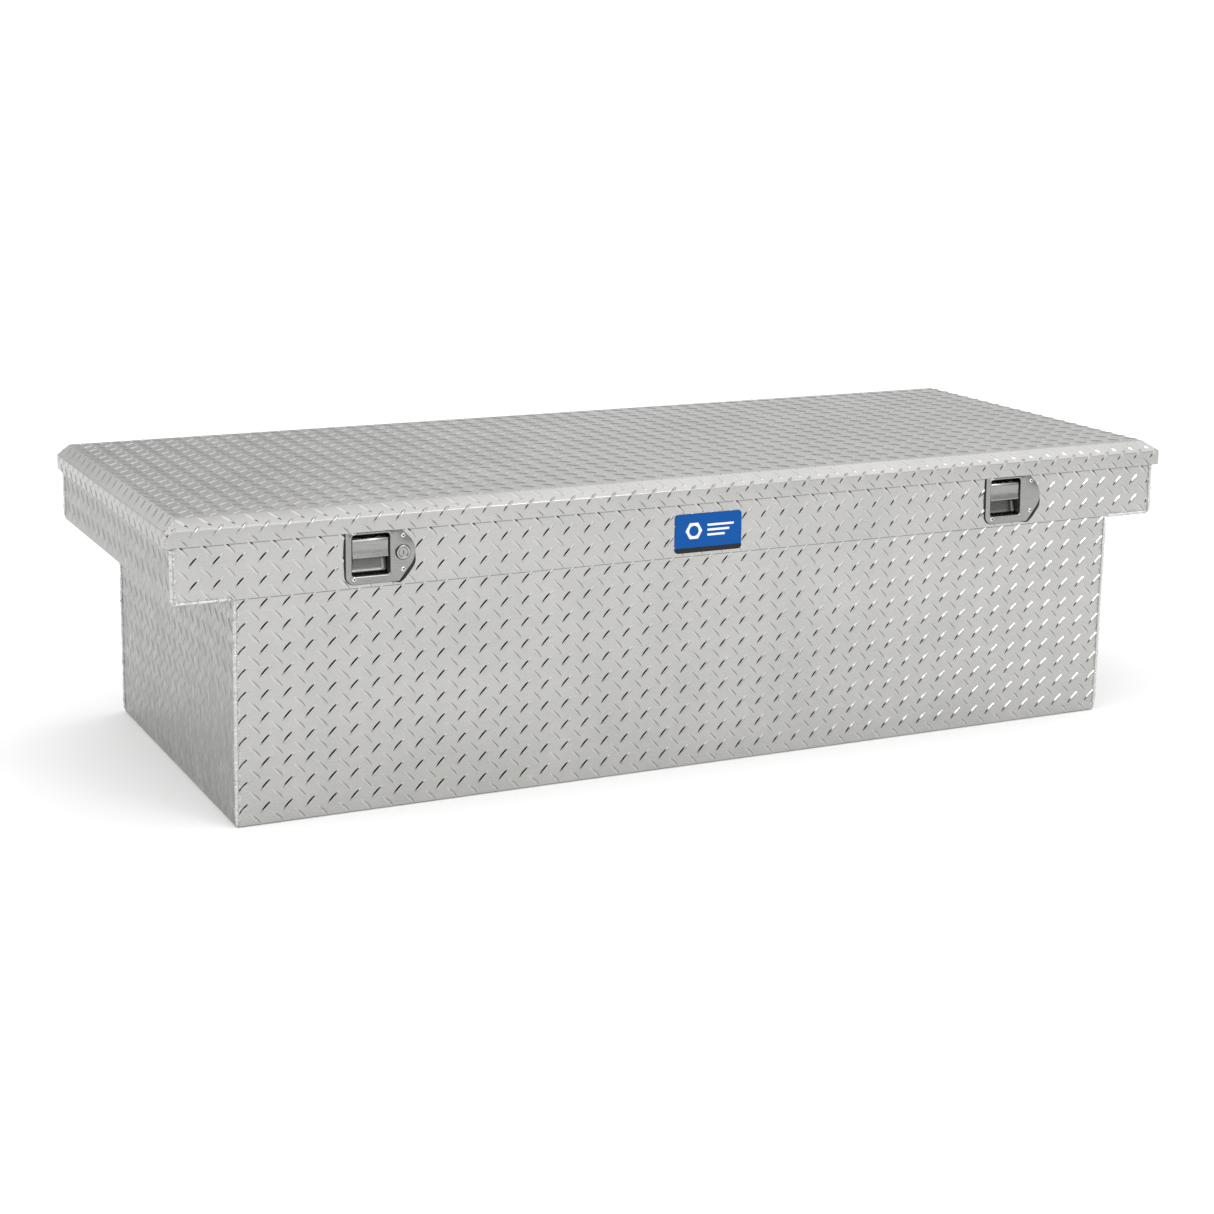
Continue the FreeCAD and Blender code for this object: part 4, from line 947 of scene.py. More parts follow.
class TOOLBOX_OT_body_tread(bpy.types.Operator):
    """Raise the tread bars of the front, back, ends and undersides"""
    bl_idname = "toolbox.body_tread"
    bl_label = "Body Tread"

    def execute(self, context):
        self.front()
        self.back()
        for side, sign in SIDES:
            self.ends(side, sign)
        self.undersides()
        return {"FINISHED"}

    @staticmethod
    def tee(u, depth):
        """Inside the front or back outline: wide band above, narrow body below."""
        band = (depth < RIM_TOP - CREASE) & (np.abs(u) < BODY_HALF - SIDE_EDGE)
        lower = (depth >= RIM_TOP - CREASE) & (np.abs(u) < BASE_HALF - SIDE_EDGE)
        return band | lower

    def front(self):
        fold = Fold([(BAND_FACE, RIM_TOP), (BAND_FACE, CREASE), (FOOT_FACE, 0.0)], 2 * MM, 1)
        # Bars run on a little way up behind the lid's front skirt.
        hidden = RIM_TOP - LID_LOW[2] - 3 * MM
        # The plate of each handle covers bars, but none may reach into its recess.
        paddles = [node_box("paddle_" + side) for side, _ in SIDES]
        recess_foot = node_box("handle_dish_left")[0][2] + 11 * MM
        clear = 3 * MM

        def inside(u, v):
            kept = self.tee(u, v) & (v > hidden) & (v < fold.length - LEVEL_EDGE)
            for near, far in paddles:
                beside = (u > near[0] - clear) & (u < far[0] + clear)
                kept &= ~(beside & (RIM_TOP - v > recess_foot))
            return kept

        def place(u, v, height):
            y, z = fold.place(v, height)
            return u, y, z

        tread_bars("front_tread", (-BODY_HALF, BODY_HALF, 0, fold.length), inside, place, "box",
                   MATERIALS["bars"])

    def back(self):
        def inside(u, v):
            return self.tee(u, v) & (v > LEVEL_EDGE) & (v < RIM_TOP - LEVEL_EDGE)

        def place(u, v, height):
            return -u, BACK_FACE + height, RIM_TOP - v

        tread_bars("back_tread", (-BODY_HALF, BODY_HALF, 0, RIM_TOP), inside, place, "box",
                   MATERIALS["bars"])

    @staticmethod
    def ends(side, sign):
        lean = FOOT_FACE - BAND_FACE

        def place_on(face):
            def place(u, v, height):
                return sign * (face + height), -sign * u, RIM_TOP - v
            return place

        def upper(u, v):
            y = -sign * u
            return ((y > BAND_FACE + SIDE_EDGE) & (y < BACK_FACE - SIDE_EDGE)
                    & (v > LEVEL_EDGE) & (v < RIM_TOP - CREASE - LEVEL_EDGE))

        def lower(u, v):
            y = -sign * u
            z = RIM_TOP - v
            start = BAND_FACE + lean * (1 - z / CREASE)
            return ((y > start + SIDE_EDGE) & (y < BACK_FACE - SIDE_EDGE)
                    & (z < CREASE - LEVEL_EDGE) & (z > LEVEL_EDGE))

        span = (-BACK_FACE, BACK_FACE, 0, RIM_TOP)
        tread_bars("wing_tread_" + side, span, upper, place_on(BODY_HALF), "box", MATERIALS["end_bars"])
        tread_bars("end_tread_" + side, span, lower, place_on(BASE_HALF), "box", MATERIALS["end_bars"])

    @staticmethod
    def undersides():
        def below(level):
            def place(u, v, height):
                return u, v, level - height
            return place

        half = BASE_HALF - UNDER_EDGE

        def bottom(u, v):
            return (np.abs(u) < half) & (v > FOOT_FACE + UNDER_EDGE) & (v < BACK_FACE - UNDER_EDGE)

        tread_bars("bottom_tread", (-half, half, FOOT_FACE, BACK_FACE), bottom, below(0.0), "box",
                   MATERIALS["end_bars"])

        def wings(u, v):
            clear = (np.abs(u) > BASE_HALF + UNDER_EDGE) & (np.abs(u) < BODY_HALF - UNDER_EDGE)
            return clear & (v > BAND_FACE + UNDER_EDGE) & (v < BACK_FACE - UNDER_EDGE)

        tread_bars("wing_floor_tread", (-BODY_HALF, BODY_HALF, BAND_FACE, BACK_FACE), wings,
                   below(CREASE), "box", MATERIALS["end_bars"])


class TOOLBOX_OT_crease(bpy.types.Operator):
    """Press the fine line where the front sheet is creased"""
    bl_idname = "toolbox.crease"
    bl_label = "Front Crease"

    def execute(self, context):
        build = Build()
        half = BASE_HALF - 1 * MM
        radius = 0.55 * MM
        rear = BAND_FACE + 0.6 * MM
        outline = arc((BAND_FACE + 0.2 * MM, CREASE), radius, 100, 260, 7)
        outline += [(rear, CREASE - radius), (rear, CREASE + radius)]
        build.sweep_x(outline, -half, half, 0.1 * MM)
        build.finish("front_crease", MATERIALS["crease"], "box", "tread_plate")
        return {"FINISHED"}


class TOOLBOX_OT_welds(bpy.types.Operator):
    """Lay rippled weld beads on the outside corners"""
    bl_idname = "toolbox.welds"
    bl_label = "Weld Beads"

    def execute(self, context):
        sheet = context.scene.toolbox_sheet
        build = Build()
        skirt = float(LID_LOW[2])
        foot = 3 * MM
        under = CREASE + sheet.bead / 2
        for _, sign in SIDES:
            wing = sign * BODY_HALF
            base = sign * BASE_HALF
            inward = sign * foot
            for start, stop in (
                    ((wing, BAND_FACE, CREASE + foot), (wing, BAND_FACE, skirt)),
                    ((wing, BACK_FACE, CREASE + foot), (wing, BACK_FACE, skirt)),
                    ((base, FOOT_FACE, foot), (base, BAND_FACE, CREASE - foot)),
                    ((base, BACK_FACE, foot), (base, BACK_FACE, CREASE - foot)),
                    ((base + inward, BAND_FACE, under), (wing - inward, BAND_FACE, under))):
                self.bead(build, start, stop, sheet)
        build.finish("weld_ripples", MATERIALS["weld"], "box", "weld", ["weld_beads"], sharp=60.0)
        return {"FINISHED"}

    @staticmethod
    def bead(build, start, stop, sheet, segments=10):
        """One bead: each ripple swells and falls away, and both ends taper."""
        start, stop = Vector(start), Vector(stop)
        along = (stop - start).normalized()
        steps = 4
        count = int((stop - start).length / sheet.ripple) * steps
        wander = np.random.default_rng(int(abs(start.x + start.y * 7 + start.z * 3) * 1000))
        drift = wander.normal(0, 0.13, count // steps + 2)
        rings = []
        for k in range(count + 1):
            share = k / count
            phase = k % steps / steps
            swell = 0.86 + 0.18 * math.sin(math.pi * phase) + drift[k // steps]
            ends = min(1.0, 0.35 + 20 * share, 0.35 + 20 * (1 - share))
            radius = sheet.bead * swell * ends
            rings.append(circle(start + (stop - start) * share, along, radius, segments))
        build.loops(rings)


# ---------------------------------------------------------------- handles
def handle_middle(side):
    """Middle of a handle's paddle along the box."""
    low, high = node_box("paddle_" + side)
    return float(low[0] + high[0]) / 2


def plate_outline(side, handle, margin=0.0):
    """(x, z) outline of the handle's plate: square on the left, a round nose on the right."""
    low, high = node_box("handle_dish_" + side)
    left = low[0] - margin
    foot = low[2] - margin
    turn = handle_middle(side) + handle.plate_turn
    radius = handle.nose_radius + margin
    nose = (high[0] - handle.nose_radius, low[2] + handle.border + handle.recess_height / 2)
    corner = handle.flange_corner + margin
    points = arc((left + corner, foot + corner), corner, 180, 270, 9)
    points.append((turn, foot))

    def touch(point, upper):
        dx, dz = point[0] - nose[0], point[1] - nose[1]
        spread = math.acos(radius / math.hypot(dx, dz))
        return math.degrees(math.atan2(dz, dx) + (-spread if upper else spread))

    points += arc(nose, radius, touch((turn, foot), False), touch((turn, high[2]), True), 15)
    points += [(turn, high[2]), (left, high[2])]
    return points


def ray_turns(points, centre):
    """Angles from a centre to each point, with a ray every few degrees between them."""
    return sorted({round(math.atan2(z - centre[1], x - centre[0]), 4) for x, z in points}
                  | {round(math.radians(angle), 4) for angle in range(-180, 180, 4)})


def ray_hits(outline, centre, turns):
    """Where rays from a centre leave a closed outline."""
    parallel = 1e-12
    slack = 1e-6
    points = np.array(outline) - centre
    hits = []
    for turn in turns:
        ray = np.array([math.cos(turn), math.sin(turn)])
        best = None
        for a, b in zip(points, np.roll(points, -1, axis=0)):
            edge = b - a
            cross = ray[0] * edge[1] - ray[1] * edge[0]
            if abs(cross) < parallel:
                continue
            reach = (a[0] * edge[1] - a[1] * edge[0]) / cross
            share = (a[0] * ray[1] - a[1] * ray[0]) / cross
            if reach > 0 and -slack <= share <= 1 + slack:
                best = reach if best is None else max(best, reach)
        hits.append(tuple(np.array(centre) + ray * best))
    return hits


class TOOLBOX_OT_handles(bpy.types.Operator):
    """Press the handle dishes with their rolled rims, gaskets and rivets"""
    bl_idname = "toolbox.handles"
    bl_label = "Handle Dishes"

    def execute(self, context):
        handle = context.scene.toolbox_handle
        for side, _ in SIDES:
            self.dish(side, handle)
            self.gasket(side, handle)
            self.rivets(side, handle)
        return {"FINISHED"}

    @staticmethod
    def recess(side, handle):
        """Rectangle of the recess's opening and the plane of its back wall."""
        low, high = node_box("paddle_" + side)
        dish_low, dish_high = node_box("handle_dish_" + side)
        foot = dish_low[2] + handle.border
        return (low[0] - handle.recess_gap, high[0] + handle.recess_gap, foot,
                foot + handle.recess_height, dish_high[1] - 1.5 * MM)

    def dish(self, side, handle):
        x0, x1, z0, z1, back = self.recess(side, handle)
        centre = ((x0 + x1) / 2, (z0 + z1) / 2)
        seat = BAND_FACE - handle.gasket
        face = seat - handle.flange
        outline = plate_outline(side, handle)
        keys = outline + rounded_rectangle(x0, x1, z0, z1, handle.recess_corner)
        turns = ray_turns(keys, centre)

        def rim(grow):
            corner = max(handle.recess_corner + grow, 1 * MM)
            box = rounded_rectangle(x0 - grow, x1 + grow, z0 - grow, z1 + grow, corner)
            return ray_hits(box, centre, turns)

        def slope(z):
            """Depth of the back wall, which comes forward towards its foot."""
            share = np.clip((z - z0) / (28 * MM), 0, 1)
            return back - 8 * MM * (1 - share)

        full = ray_hits(outline, centre, turns)
        inset = scaled(full, centre, 0.992)
        # From behind the back wall, round the plate and the rolled rim, and down into the recess.
        loops = [[(x, slope(z) + 1.5 * MM, z) for x, z in rim(-6 * MM)],
                 [(x, slope(z) + 1.4 * MM, z) for x, z in rim(1.4 * MM)],
                 [(x, seat, z) for x, z in rim(1.45 * MM)],
                 [(x, seat, z) for x, z in full],
                 [(x, face + 0.3 * MM, z) for x, z in full],
                 [(x, face, z) for x, z in inset],
                 [(x, face, z) for x, z in rim(4.6 * MM)],
                 [(x, face - handle.rim * 0.75, z) for x, z in rim(3.8 * MM)],
                 [(x, face - handle.rim, z) for x, z in rim(3.0 * MM)],
                 [(x, face - handle.rim * 0.8, z) for x, z in rim(2.1 * MM)],
                 [(x, face - handle.rim * 0.1, z) for x, z in rim(1.1 * MM)],
                 [(x, face + 1.1 * MM, z) for x, z in rim(0.35 * MM)],
                 [(x, face + 2.4 * MM, z) for x, z in rim(0.05 * MM)],
                 [(x, BAND_FACE + 3 * MM, z) for x, z in rim(0)],
                 [(x, slope(z) - 3 * MM, z) for x, z in rim(-0.4 * MM)],
                 [(x, slope(z) - 1 * MM, z) for x, z in rim(-1.4 * MM)],
                 [(x, slope(z), z) for x, z in rim(-3.5 * MM)],
                 [(x, slope(z), z) for x, z in rim(-8 * MM)]]
        build = Build()
        build.loops(loops)
        build.finish("dish_" + side, MATERIALS["dish"], "box", "stainless",
                     ["handle_dish_" + side], sharp=50.0)

    def gasket(self, side, handle):
        """Rubber behind the plate; its lower nose shows as a black edge."""
        x0, x1, z0, z1, _ = self.recess(side, handle)
        centre = ((x0 + x1) / 2, (z0 + z1) / 2)
        seat = BAND_FACE - handle.gasket
        outline = plate_outline(side, handle, 0.6 * MM)
        turns = ray_turns(outline, centre)
        outer = []
        for turn, point in zip(turns, ray_hits(outline, centre, turns)):
            lower = math.exp(-((turn + 0.48) / 0.34) ** 4)
            grow = 6.0 * MM * lower + 2.4 * MM * max(0.0, -math.cos(turn)) ** 3
            outer.append((point[0] + grow * math.cos(turn), point[1] + grow * math.sin(turn)))
        hole = ray_hits(rounded_rectangle(x0 - 2 * MM, x1 + 2 * MM, z0 - 2 * MM, z1 + 2 * MM, 4 * MM),
                        centre, turns)
        small = scaled(outer, centre, 0.99)
        build = Build()
        build.loops([[(x, BAND_FACE + 0.2 * MM, z) for x, z in hole],
                     [(x, BAND_FACE + 0.2 * MM, z) for x, z in outer],
                     [(x, seat + 0.5 * MM, z) for x, z in outer],
                     [(x, seat, z) for x, z in small],
                     [(x, seat, z) for x, z in hole]], close=True)
        build.finish("gasket_" + side, MATERIALS["rubber"], "box", "black_rubber",
                     ["handle_gasket_" + side])

    @staticmethod
    def rivets(side, handle):
        """Two rivets at the square end of the plate and two at its nose, each with a bore."""
        head = 3.7 * MM
        seat = 3 * MM
        x0, _, z0, z1, _ = TOOLBOX_OT_handles.recess(side, handle)
        nose = handle_middle(side) + handle.lock_reach
        face = BAND_FACE - handle.gasket - handle.flange
        edge = 1.5 * MM + seat
        level = (z0 + z1) / 2
        places = [(x0 + seat, z0 - edge), (x0 + seat, z1 + edge),
                  (nose, level - handle.rivet_reach), (nose, level + handle.rivet_reach)]
        build = Build()
        bore_shade = Build()
        for x, z in places:
            build.lathe((x, face + 0.1 * MM, z), (0, -1, 0), dome(head, 1.3 * MM, dimple=0.7 * MM), 20)
            # Painted shade: a black disc inside each rivet's dimple for the dark bore.
            bore_shade.lathe((x, face, z), (0, -1, 0), [(0.6 * MM, 1.7 * MM), (1.38 * MM, 1.6 * MM)], 12)
        build.finish("rivets_" + side, MATERIALS["chrome"], "box", "stainless",
                     ["handle_rivets_" + side])
        bore_shade.finish("rivet_bores_" + side, MATERIALS["black"], "box", "stainless")


class TOOLBOX_OT_paddles(bpy.types.Operator):
    """Form the paddles with their curled lips, pins and springs"""
    bl_idname = "toolbox.paddles"
    bl_label = "Paddles"

    def execute(self, context):
        for side, _ in SIDES:
            self.paddle(side)
            dress("paddle_pin_" + side, "steel")
            dress("paddle_spring_" + side, "steel")
            dress("release_lever_" + side, "zinc")
        return {"FINISHED"}

    @staticmethod
    def paddle(side):
        """Curled plate of one paddle, with a boss and a web round the pin at each end."""
        low, high = node_box("paddle_" + side)
        pin_low, pin_high = node_box("paddle_pin_" + side)
        pivot = ((pin_low[1] + pin_high[1]) / 2, (pin_low[2] + pin_high[2]) / 2)
        face = low[1]
        lip = 2.6 * MM
        curl = (face + 2 * MM, low[2] + lip)
        top = pivot[1] + 2.5 * MM
        outline = [(face + 0.6 * MM, top), (face, top - 0.6 * MM), (face, top - 6 * MM)]
        outline += [(face + 0.35 * MM, (top + curl[1]) / 2), (face + 0.2 * MM, curl[1] + 4 * MM)]
        outline += arc(curl, lip + 0.6 * MM, 170, 350, 12)
        outline += [(face + 2 * MM, curl[1] + 5 * MM), (face + 2 * MM, top - 6 * MM),
                    (face + 2 * MM, top)]
        build = Build()
        build.sweep_x(outline, low[0], high[0], 0.5 * MM)
        boss = 4.4 * MM
        reach = 18 * MM
        web_low, web_high = pivot[1] - 3 * MM, pivot[1] + 2.4 * MM
        web = [(face + 1.5 * MM, web_low), (pivot[0], web_low), (pivot[0], web_high),
               (face + 1.5 * MM, web_high)]
        for x, toward in ((low[0], 1), (high[0], -1)):
            build.lathe((x, pivot[0], pivot[1]), (toward, 0, 0),
                        [(0, boss * 0.9), (0.5 * MM, boss), (reach, boss),
                         (reach + 0.5 * MM, boss * 0.9)])
            x_far = x + toward * reach
            build.sweep_x(web, min(x, x_far), max(x, x_far), 0.3 * MM)
        build.finish("paddle_plate_" + side, MATERIALS["steel"], "paddle_%s_body" % side, "stainless",
                     ["paddle_" + side], sharp=45.0)


class TOOLBOX_OT_lock(bpy.types.Operator):
    """Turn the lock barrel and its plug with a keyway"""
    bl_idname = "toolbox.lock"
    bl_label = "Lock"

    def execute(self, context):
        low, high = node_box("lock_body")
        x = (low[0] + high[0]) / 2
        z = (low[2] + high[2]) / 2
        collar = 10.8 * MM
        bore = 7.2 * MM
        shank = 9 * MM
        core = 6.95 * MM
        front = float(low[1])
        rear = float(high[1])
        seat = front + 2 * MM

        def turned(section):
            """A closed ring about the lock's axis from (y, radius) pairs."""
            build = Build()
            turns = np.linspace(0, 2 * math.pi, 40, endpoint=False)
            build.loops([[(x + radius * math.cos(t), y, z + radius * math.sin(t)) for t in turns]
                         for y, radius in section], close=True)
            return build

        barrel = turned([(front, collar - 0.7 * MM), (front + 0.35 * MM, collar), (seat, collar),
                         (seat, shank), (rear, shank), (rear, bore), (front + 0.5 * MM, bore),
                         (front, bore + 0.6 * MM)])
        barrel.finish("lock_barrel", MATERIALS["lock"], "box", "chrome", ["lock_body"])
        # Painted shadow: a thin black rubber ring round the collar, put where the gap between the collar
        # and the plate is in shade.
        ring = turned([(seat + 0.1 * MM, collar - 0.6 * MM), (seat - 0.7 * MM, collar - 0.3 * MM),
                       (seat - 0.6 * MM, collar + 0.9 * MM), (seat + 0.1 * MM, collar + 1.2 * MM)])
        ring.finish("lock_shadow_ring", MATERIALS["rubber"], "box", "black_rubber")
        plug = Build()
        plug.lathe((x, seat - 1.8 * MM, z), (0, 1, 0),
                   [(0.5 * MM, 3.4 * MM), (0.1 * MM, 3.6 * MM), (0, 6.4 * MM), (0.5 * MM, core),
                    (25 * MM, core)], 36)
        plug.finish("lock_core_face", MATERIALS["lock"], "lock_core", "chrome", ["lock_plug"])
        # Painted shade: a black slab in the plug's face stands in for the shaded depth of the keyway slot.
        key = Build()
        slot = rounded_rectangle(x - 0.7 * MM, x + 0.7 * MM, z - 3 * MM, z + 3 * MM, 0.6 * MM, 4)
        key.loops([[(a, seat - 1.45 * MM, b) for a, b in slot],
                   [(a, seat + 1 * MM, b) for a, b in slot]])
        key.finish("lock_keyway_shade", MATERIALS["black"], "lock_core", "chrome")
        dress("lock_cam", "zinc")
        dress("lock_nut", "zinc")
        return {"FINISHED"}


class TOOLBOX_OT_latch(bpy.types.Operator):
    """Finish the latch shaft, cranks, hooks, brackets and strikers"""
    bl_idname = "toolbox.latch"
    bl_label = "Latch"

    def execute(self, context):
        dress("release_shaft", "zinc")
        for side, _ in SIDES:
            for node in ("crank_", "hook_", "striker_"):
                dress(node + side, "zinc")
        for index in range(1, 5):
            dress("shaft_bracket_%d" % index, "zinc")
        return {"FINISHED"}


class TOOLBOX_OT_badge(bpy.types.Operator):
    """Make the plain badge: a blue plate with a black foot, a hexagon and bars"""
    bl_idname = "toolbox.badge"
    bl_label = "Badge"

    def execute(self, context):
        low, high = node_box("badge")
        x0, x1, z0, z1 = low[0], high[0], low[2], high[2]
        radius = 6 * MM
        face = float(low[1])
        plate = Build()
        self.slab(plate, rounded_rectangle(x0, x1, z0, z1, radius), BAND_FACE, face, 0.5 * MM)
        plate.finish("badge_plate", MATERIALS["blue"], "box", "blue_badge", ["badge"])
        strip = Build()
        top = z0 + (z1 - z0) * 0.13
        foot = [p for p in rounded_rectangle(x0, x1, z0, z1, radius) if p[1] < top]
        foot = sorted(foot, key=lambda p: math.atan2(p[1] - z1, p[0] - (x0 + x1) / 2))
        outline = [(x0 + 0.3 * MM, top)] + foot + [(x1 - 0.3 * MM, top)]
        self.slab(strip, outline, face + 0.3 * MM, face - 0.12 * MM, 0.05 * MM)
        strip.finish("badge_strip", MATERIALS["black"], "box", "blue_badge")
        marks = Build()
        middle = (x0 + 0.28 * (x1 - x0), z0 + 0.56 * (z1 - z0))
        self.hexagon(marks, middle, 15 * MM, 8.5 * MM, face)
        bar_start = middle[0] + 24 * MM
        bar_half = 1.8 * MM
        spacing = 8 * MM
        for row, width in enumerate((48 * MM, 40 * MM, 32 * MM)):
            z = middle[1] + spacing * (1 - row)
            bar = rounded_rectangle(bar_start, bar_start + width, z - bar_half, z + bar_half,
                                    1.2 * MM, 4)
            self.slab(marks, bar, face + 0.3 * MM, face - 0.2 * MM, 0.1 * MM)
        marks.finish("badge_marks", MATERIALS["white"], "box", "blue_badge")
        return {"FINISHED"}

    @staticmethod
    def slab(build, outline, back, face, bevel):
        """A flat (x, z) outline with depth, bevelled round its face."""
        build.loops([[(x, back, z) for x, z in outline], [(x, face + bevel, z) for x, z in outline],
                     [(x, face, z) for x, z in drawn_in(outline, bevel)]])

    @staticmethod
    def hexagon(build, middle, outer, inner, face):
        """A ring with a six-sided outside and a round hole."""
        back = face + 0.3 * MM
        front = face - 0.2 * MM
        segments = 36
        rings = []
        for y, radius in ((back, outer), (front, outer), (front, inner), (back, inner)):
            ring = []
            for k in range(segments):
                turn = 2 * math.pi * k / segments
                sixth = (turn % (math.pi / 3)) - math.pi / 6
                reach = radius * (math.cos(math.pi / 6) / math.cos(sixth) if radius == outer else 1)
                ring.append((middle[0] + reach * math.cos(turn), y, middle[1] + reach * math.sin(turn)))
            rings.append(ring)
        build.loops(rings, close=True)


class TOOLBOX_OT_seal(bpy.types.Operator):
    """Run the bulb seal round the rim"""
    bl_idname = "toolbox.seal"
    bl_label = "Weather Seal"

    def execute(self, context):
        low, high = node_box("weather_seal")
        radius = 14 * MM
        half = 6 * MM
        height = float(high[2] - low[2])
        bulb = height * 0.42
        section = [(-half, 0.0), (-half, 1.2 * MM), (-half * 0.75, 1.6 * MM)]
        section += [(bulb * math.cos(t), height * 0.58 + bulb * math.sin(t))
                    for t in np.radians(np.linspace(200, -20, 12))]
        section += [(half * 0.75, 1.6 * MM), (half, 1.2 * MM), (half, 0.0)]
        path = rounded_rectangle(low[0] + half, high[0] - half, low[1] + half, high[1] - half,
                                 radius, 9)
        points = np.array(path)
        ahead = np.roll(points, -1, axis=0) - np.roll(points, 1, axis=0)
        ahead /= np.linalg.norm(ahead, axis=1)[:, None]
        outward = np.stack([ahead[:, 1], -ahead[:, 0]], axis=1)
        loops = []
        for point, side in zip(points, outward):
            loops.append([(point[0] + side[0] * a, point[1] + side[1] * a, low[2] + b)
                          for a, b in section])
        build = Build()
        build.loops(loops, close=True)
        build.finish("bulb_seal", MATERIALS["rubber"], "box", "black_rubber", ["weather_seal"])
        return {"FINISHED"}


class TOOLBOX_OT_hinge(bpy.types.Operator):
    """Finish the piano hinge and dome its rivets"""
    bl_idname = "toolbox.hinge"
    bl_label = "Piano Hinge"

    def execute(self, context):
        for node in ("hinge_leaf_body", "hinge_leaf_lid", "hinge_pin"):
            dress(node, "steel")
        count = 17
        radius = 3 * MM
        for part, body in (("body", "box"), ("lid", "lid")):
            node = "hinge_rivets_" + part
            low, high = node_box(node)
            z = (low[2] + high[2]) / 2
            build = Build()
            for x in np.linspace(low[0] + radius, high[0] - radius, count):
                build.lathe((x, low[1] - 0.05 * MM, z), (0, 1, 0), dome(radius, 1.3 * MM), 18)
            build.finish("hinge_domes_" + part, MATERIALS["plain"], body, "zinc_steel", [node])
        return {"FINISHED"}


class TOOLBOX_OT_struts(bpy.types.Operator):
    """Turn the gas struts: enamelled cylinders, bright rods, plated brackets"""
    bl_idname = "toolbox.struts"
    bl_label = "Gas Struts"

    def execute(self, context):
        for side, _ in SIDES:
            dress("strut_cylinder_" + side, "enamel")
            dress("strut_rod_" + side, "chrome")
            dress("strut_body_bracket_" + side, "zinc")
            dress("strut_lid_bracket_" + side, "zinc")
        return {"FINISHED"}


class TOOLBOX_OT_stage(bpy.types.Operator):
    """Set the pale floor, the soft studio light and the camera"""
    bl_idname = "toolbox.stage"
    bl_label = "Stage"

    def execute(self, context):
        stage = context.scene.toolbox_stage
        self.floor(stage)
        self.world(context.scene)
        self.lamps()
        self.camera(context.scene, stage)
        context.scene.view_settings.view_transform = "Standard"
        return {"FINISHED"}

    @staticmethod
    def floor(stage):
        half = stage.floor / 2
        level = -1.6 * MM
        mesh = bpy.data.meshes.new("floor")
        mesh.from_pydata([(-half, -half, level), (half, -half, level), (half, half, level),
                          (-half, half, level)], [], [(0, 1, 2, 3)])
        mesh.materials.append(MATERIALS["floor"])
        floor = bpy.data.objects.new("floor", mesh)
        bpy.context.scene.collection.objects.link(floor)

    @staticmethod
    def world(scene):
        """Lights the scene from the studio's dome."""
        world = bpy.data.worlds.new("studio")
        world.use_nodes = True
        scene.world = world
        tree = world.node_tree
        light = next(n for n in tree.nodes if n.type == "BACKGROUND")
        studio = Studio(tree)
        light.inputs["Strength"].default_value = 1.0
        level = studio.glow()
        tree.links.new(level.socket, light.inputs["Color"])

    @staticmethod
    def lamps():
        """Soft boxes that put bright edges on the bars."""
        for name, place, aim, size, power in (
                ("key", (1.4, -4.2, 3.2), (0.1, 0, 0.3), 1.2, 30.0),
                ("fill", (-4.5, -0.5, 3.0), (-0.5, 0, 0.3), 2.0, 15.0)):
            lamp = bpy.data.lights.new(name, "AREA")
            lamp.shape = "RECTANGLE"
            lamp.size = size
            lamp.size_y = size * 0.7
            lamp.energy = power
            shape = bpy.data.objects.new(name, lamp)
            shape.location = place
            shape.rotation_euler = (Vector(aim) - Vector(place)).to_track_quat("-Z", "Y").to_euler()
            bpy.context.scene.collection.objects.link(shape)

    @staticmethod
    def camera(scene, stage):
        data = bpy.data.cameras.new("camera")
        data.sensor_width = 36.0
        data.lens = stage.lens
        data.shift_y = stage.shift
        data.clip_end = 1000.0
        camera = bpy.data.objects.new("camera", data)
        scene.collection.objects.link(camera)
        ahead = Vector((-math.sin(stage.yaw) * math.cos(stage.pitch),
                        math.cos(stage.yaw) * math.cos(stage.pitch), math.sin(stage.pitch)))
        right = Vector((math.cos(stage.yaw), math.sin(stage.yaw), 0))
        up = right.cross(ahead)
        lean_right = right * math.cos(stage.roll) + up * math.sin(stage.roll)
        lean_up = up * math.cos(stage.roll) - right * math.sin(stage.roll)
        turn = Matrix((lean_right, lean_up, -ahead)).transposed()
        camera.matrix_world = Matrix.Translation(Vector(stage.camera)) @ turn.to_4x4()
        scene.camera = camera


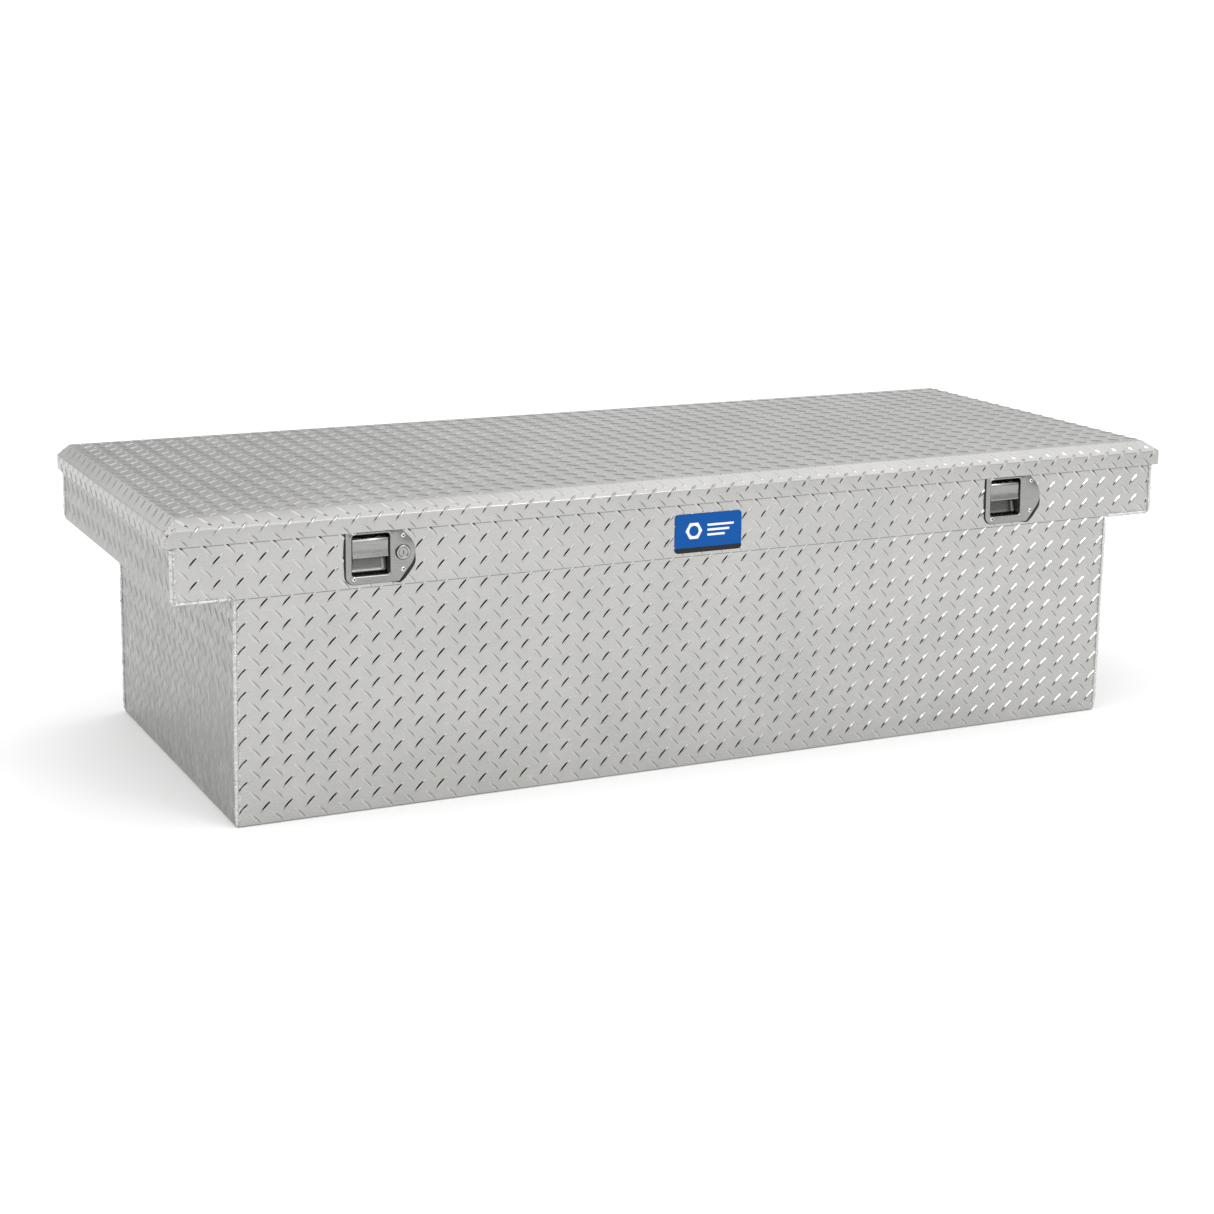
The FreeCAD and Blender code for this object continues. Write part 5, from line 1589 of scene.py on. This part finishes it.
class Studio:
    """Light from each direction of the dome, worked out from the direction's parts."""

    def __init__(self, tree):
        self.tree = tree
        coordinates = tree.nodes.new("ShaderNodeTexCoord")
        parts = self.node("ShaderNodeSeparateXYZ", {}, [coordinates.outputs["Generated"]])
        self.x, self.y, self.z = (Value(self, parts.outputs[k]) for k in range(3))

    node = Surface.node
    join = Surface.join

    def patch(self, azimuth, elevation, inner, outer):
        """1 inside a round patch of the dome, 0 outside, angles in degrees, azimuth from -Y to +X."""
        a, e = math.radians(azimuth), math.radians(elevation)
        centre = (math.sin(a) * math.cos(e), -math.cos(a) * math.cos(e), math.sin(e))
        dot = self.x * centre[0] + self.y * centre[1] + self.z * centre[2]
        return dot.ramp(math.cos(math.radians(outer)), math.cos(math.radians(inner)))

    def glow(self):
        """Brightness of the dome: pale above, with bright and dark patches and a white horizon."""
        base = self.z.ramp(0.10, 0.75, 0.52, 1.6)
        dark = self.patch(-25, 21, 13, 16)
        soft = self.patch(7, 20, 11, 15)
        overhead = self.patch(174, 60, 16, 25)
        rear = self.patch(171, 9, 7, 16)
        left = self.patch(-124, 8, 18, 36)
        horizon = abs(self.z).ramp(0.02, 0.05, 1.4, 0.0)
        far = self.patch(147, 10, 12, 22)
        level = (base + far * 0.12) * (1 - dark * 0.97) * (1 - overhead * 0.6) * (1 - rear * 0.3)
        return (level + soft * 1.8 + left * 0.12).above(horizon * self.y.ramp(0.0, 0.2))


# ---------------------------------------------------------------- panel and running
OPERATORS = (TOOLBOX_OT_sheets, TOOLBOX_OT_lid_skin, TOOLBOX_OT_lid_tread, TOOLBOX_OT_body_tread,
             TOOLBOX_OT_crease, TOOLBOX_OT_welds, TOOLBOX_OT_handles, TOOLBOX_OT_paddles,
             TOOLBOX_OT_lock, TOOLBOX_OT_latch, TOOLBOX_OT_badge, TOOLBOX_OT_seal,
             TOOLBOX_OT_hinge, TOOLBOX_OT_struts, TOOLBOX_OT_stage)


class TOOLBOX_PT_panel(bpy.types.Panel):
    """Sizes, colours and the build steps of the tool box"""
    bl_idname = "TOOLBOX_PT_panel"
    bl_label = "Tool Box"
    bl_space_type = "VIEW_3D"
    bl_region_type = "UI"
    bl_category = "Tool Box"

    def draw(self, context):
        for key, group in GROUPS.items():
            column = self.layout.column(heading=group.__doc__)
            for prop in group.__annotations__:
                column.prop(getattr(context.scene, key), prop)
        for operator in OPERATORS:
            self.layout.operator(operator.bl_idname)


def register():
    for key, group in GROUPS.items():
        bpy.utils.register_class(group)
        setattr(bpy.types.Scene, key, PointerProperty(type=group))
    for operator in OPERATORS:
        bpy.utils.register_class(operator)
    bpy.utils.register_class(TOOLBOX_PT_panel)


def unregister():
    bpy.utils.unregister_class(TOOLBOX_PT_panel)
    for operator in reversed(OPERATORS):
        bpy.utils.unregister_class(operator)
    for key, group in reversed(list(GROUPS.items())):
        delattr(bpy.types.Scene, key)
        bpy.utils.unregister_class(group)


def main():
    register()
    make_materials()
    for operator in OPERATORS:
        group, name = operator.bl_idname.split(".")
        getattr(getattr(bpy.ops, group), name)()


if __name__ == "__main__":
    main()
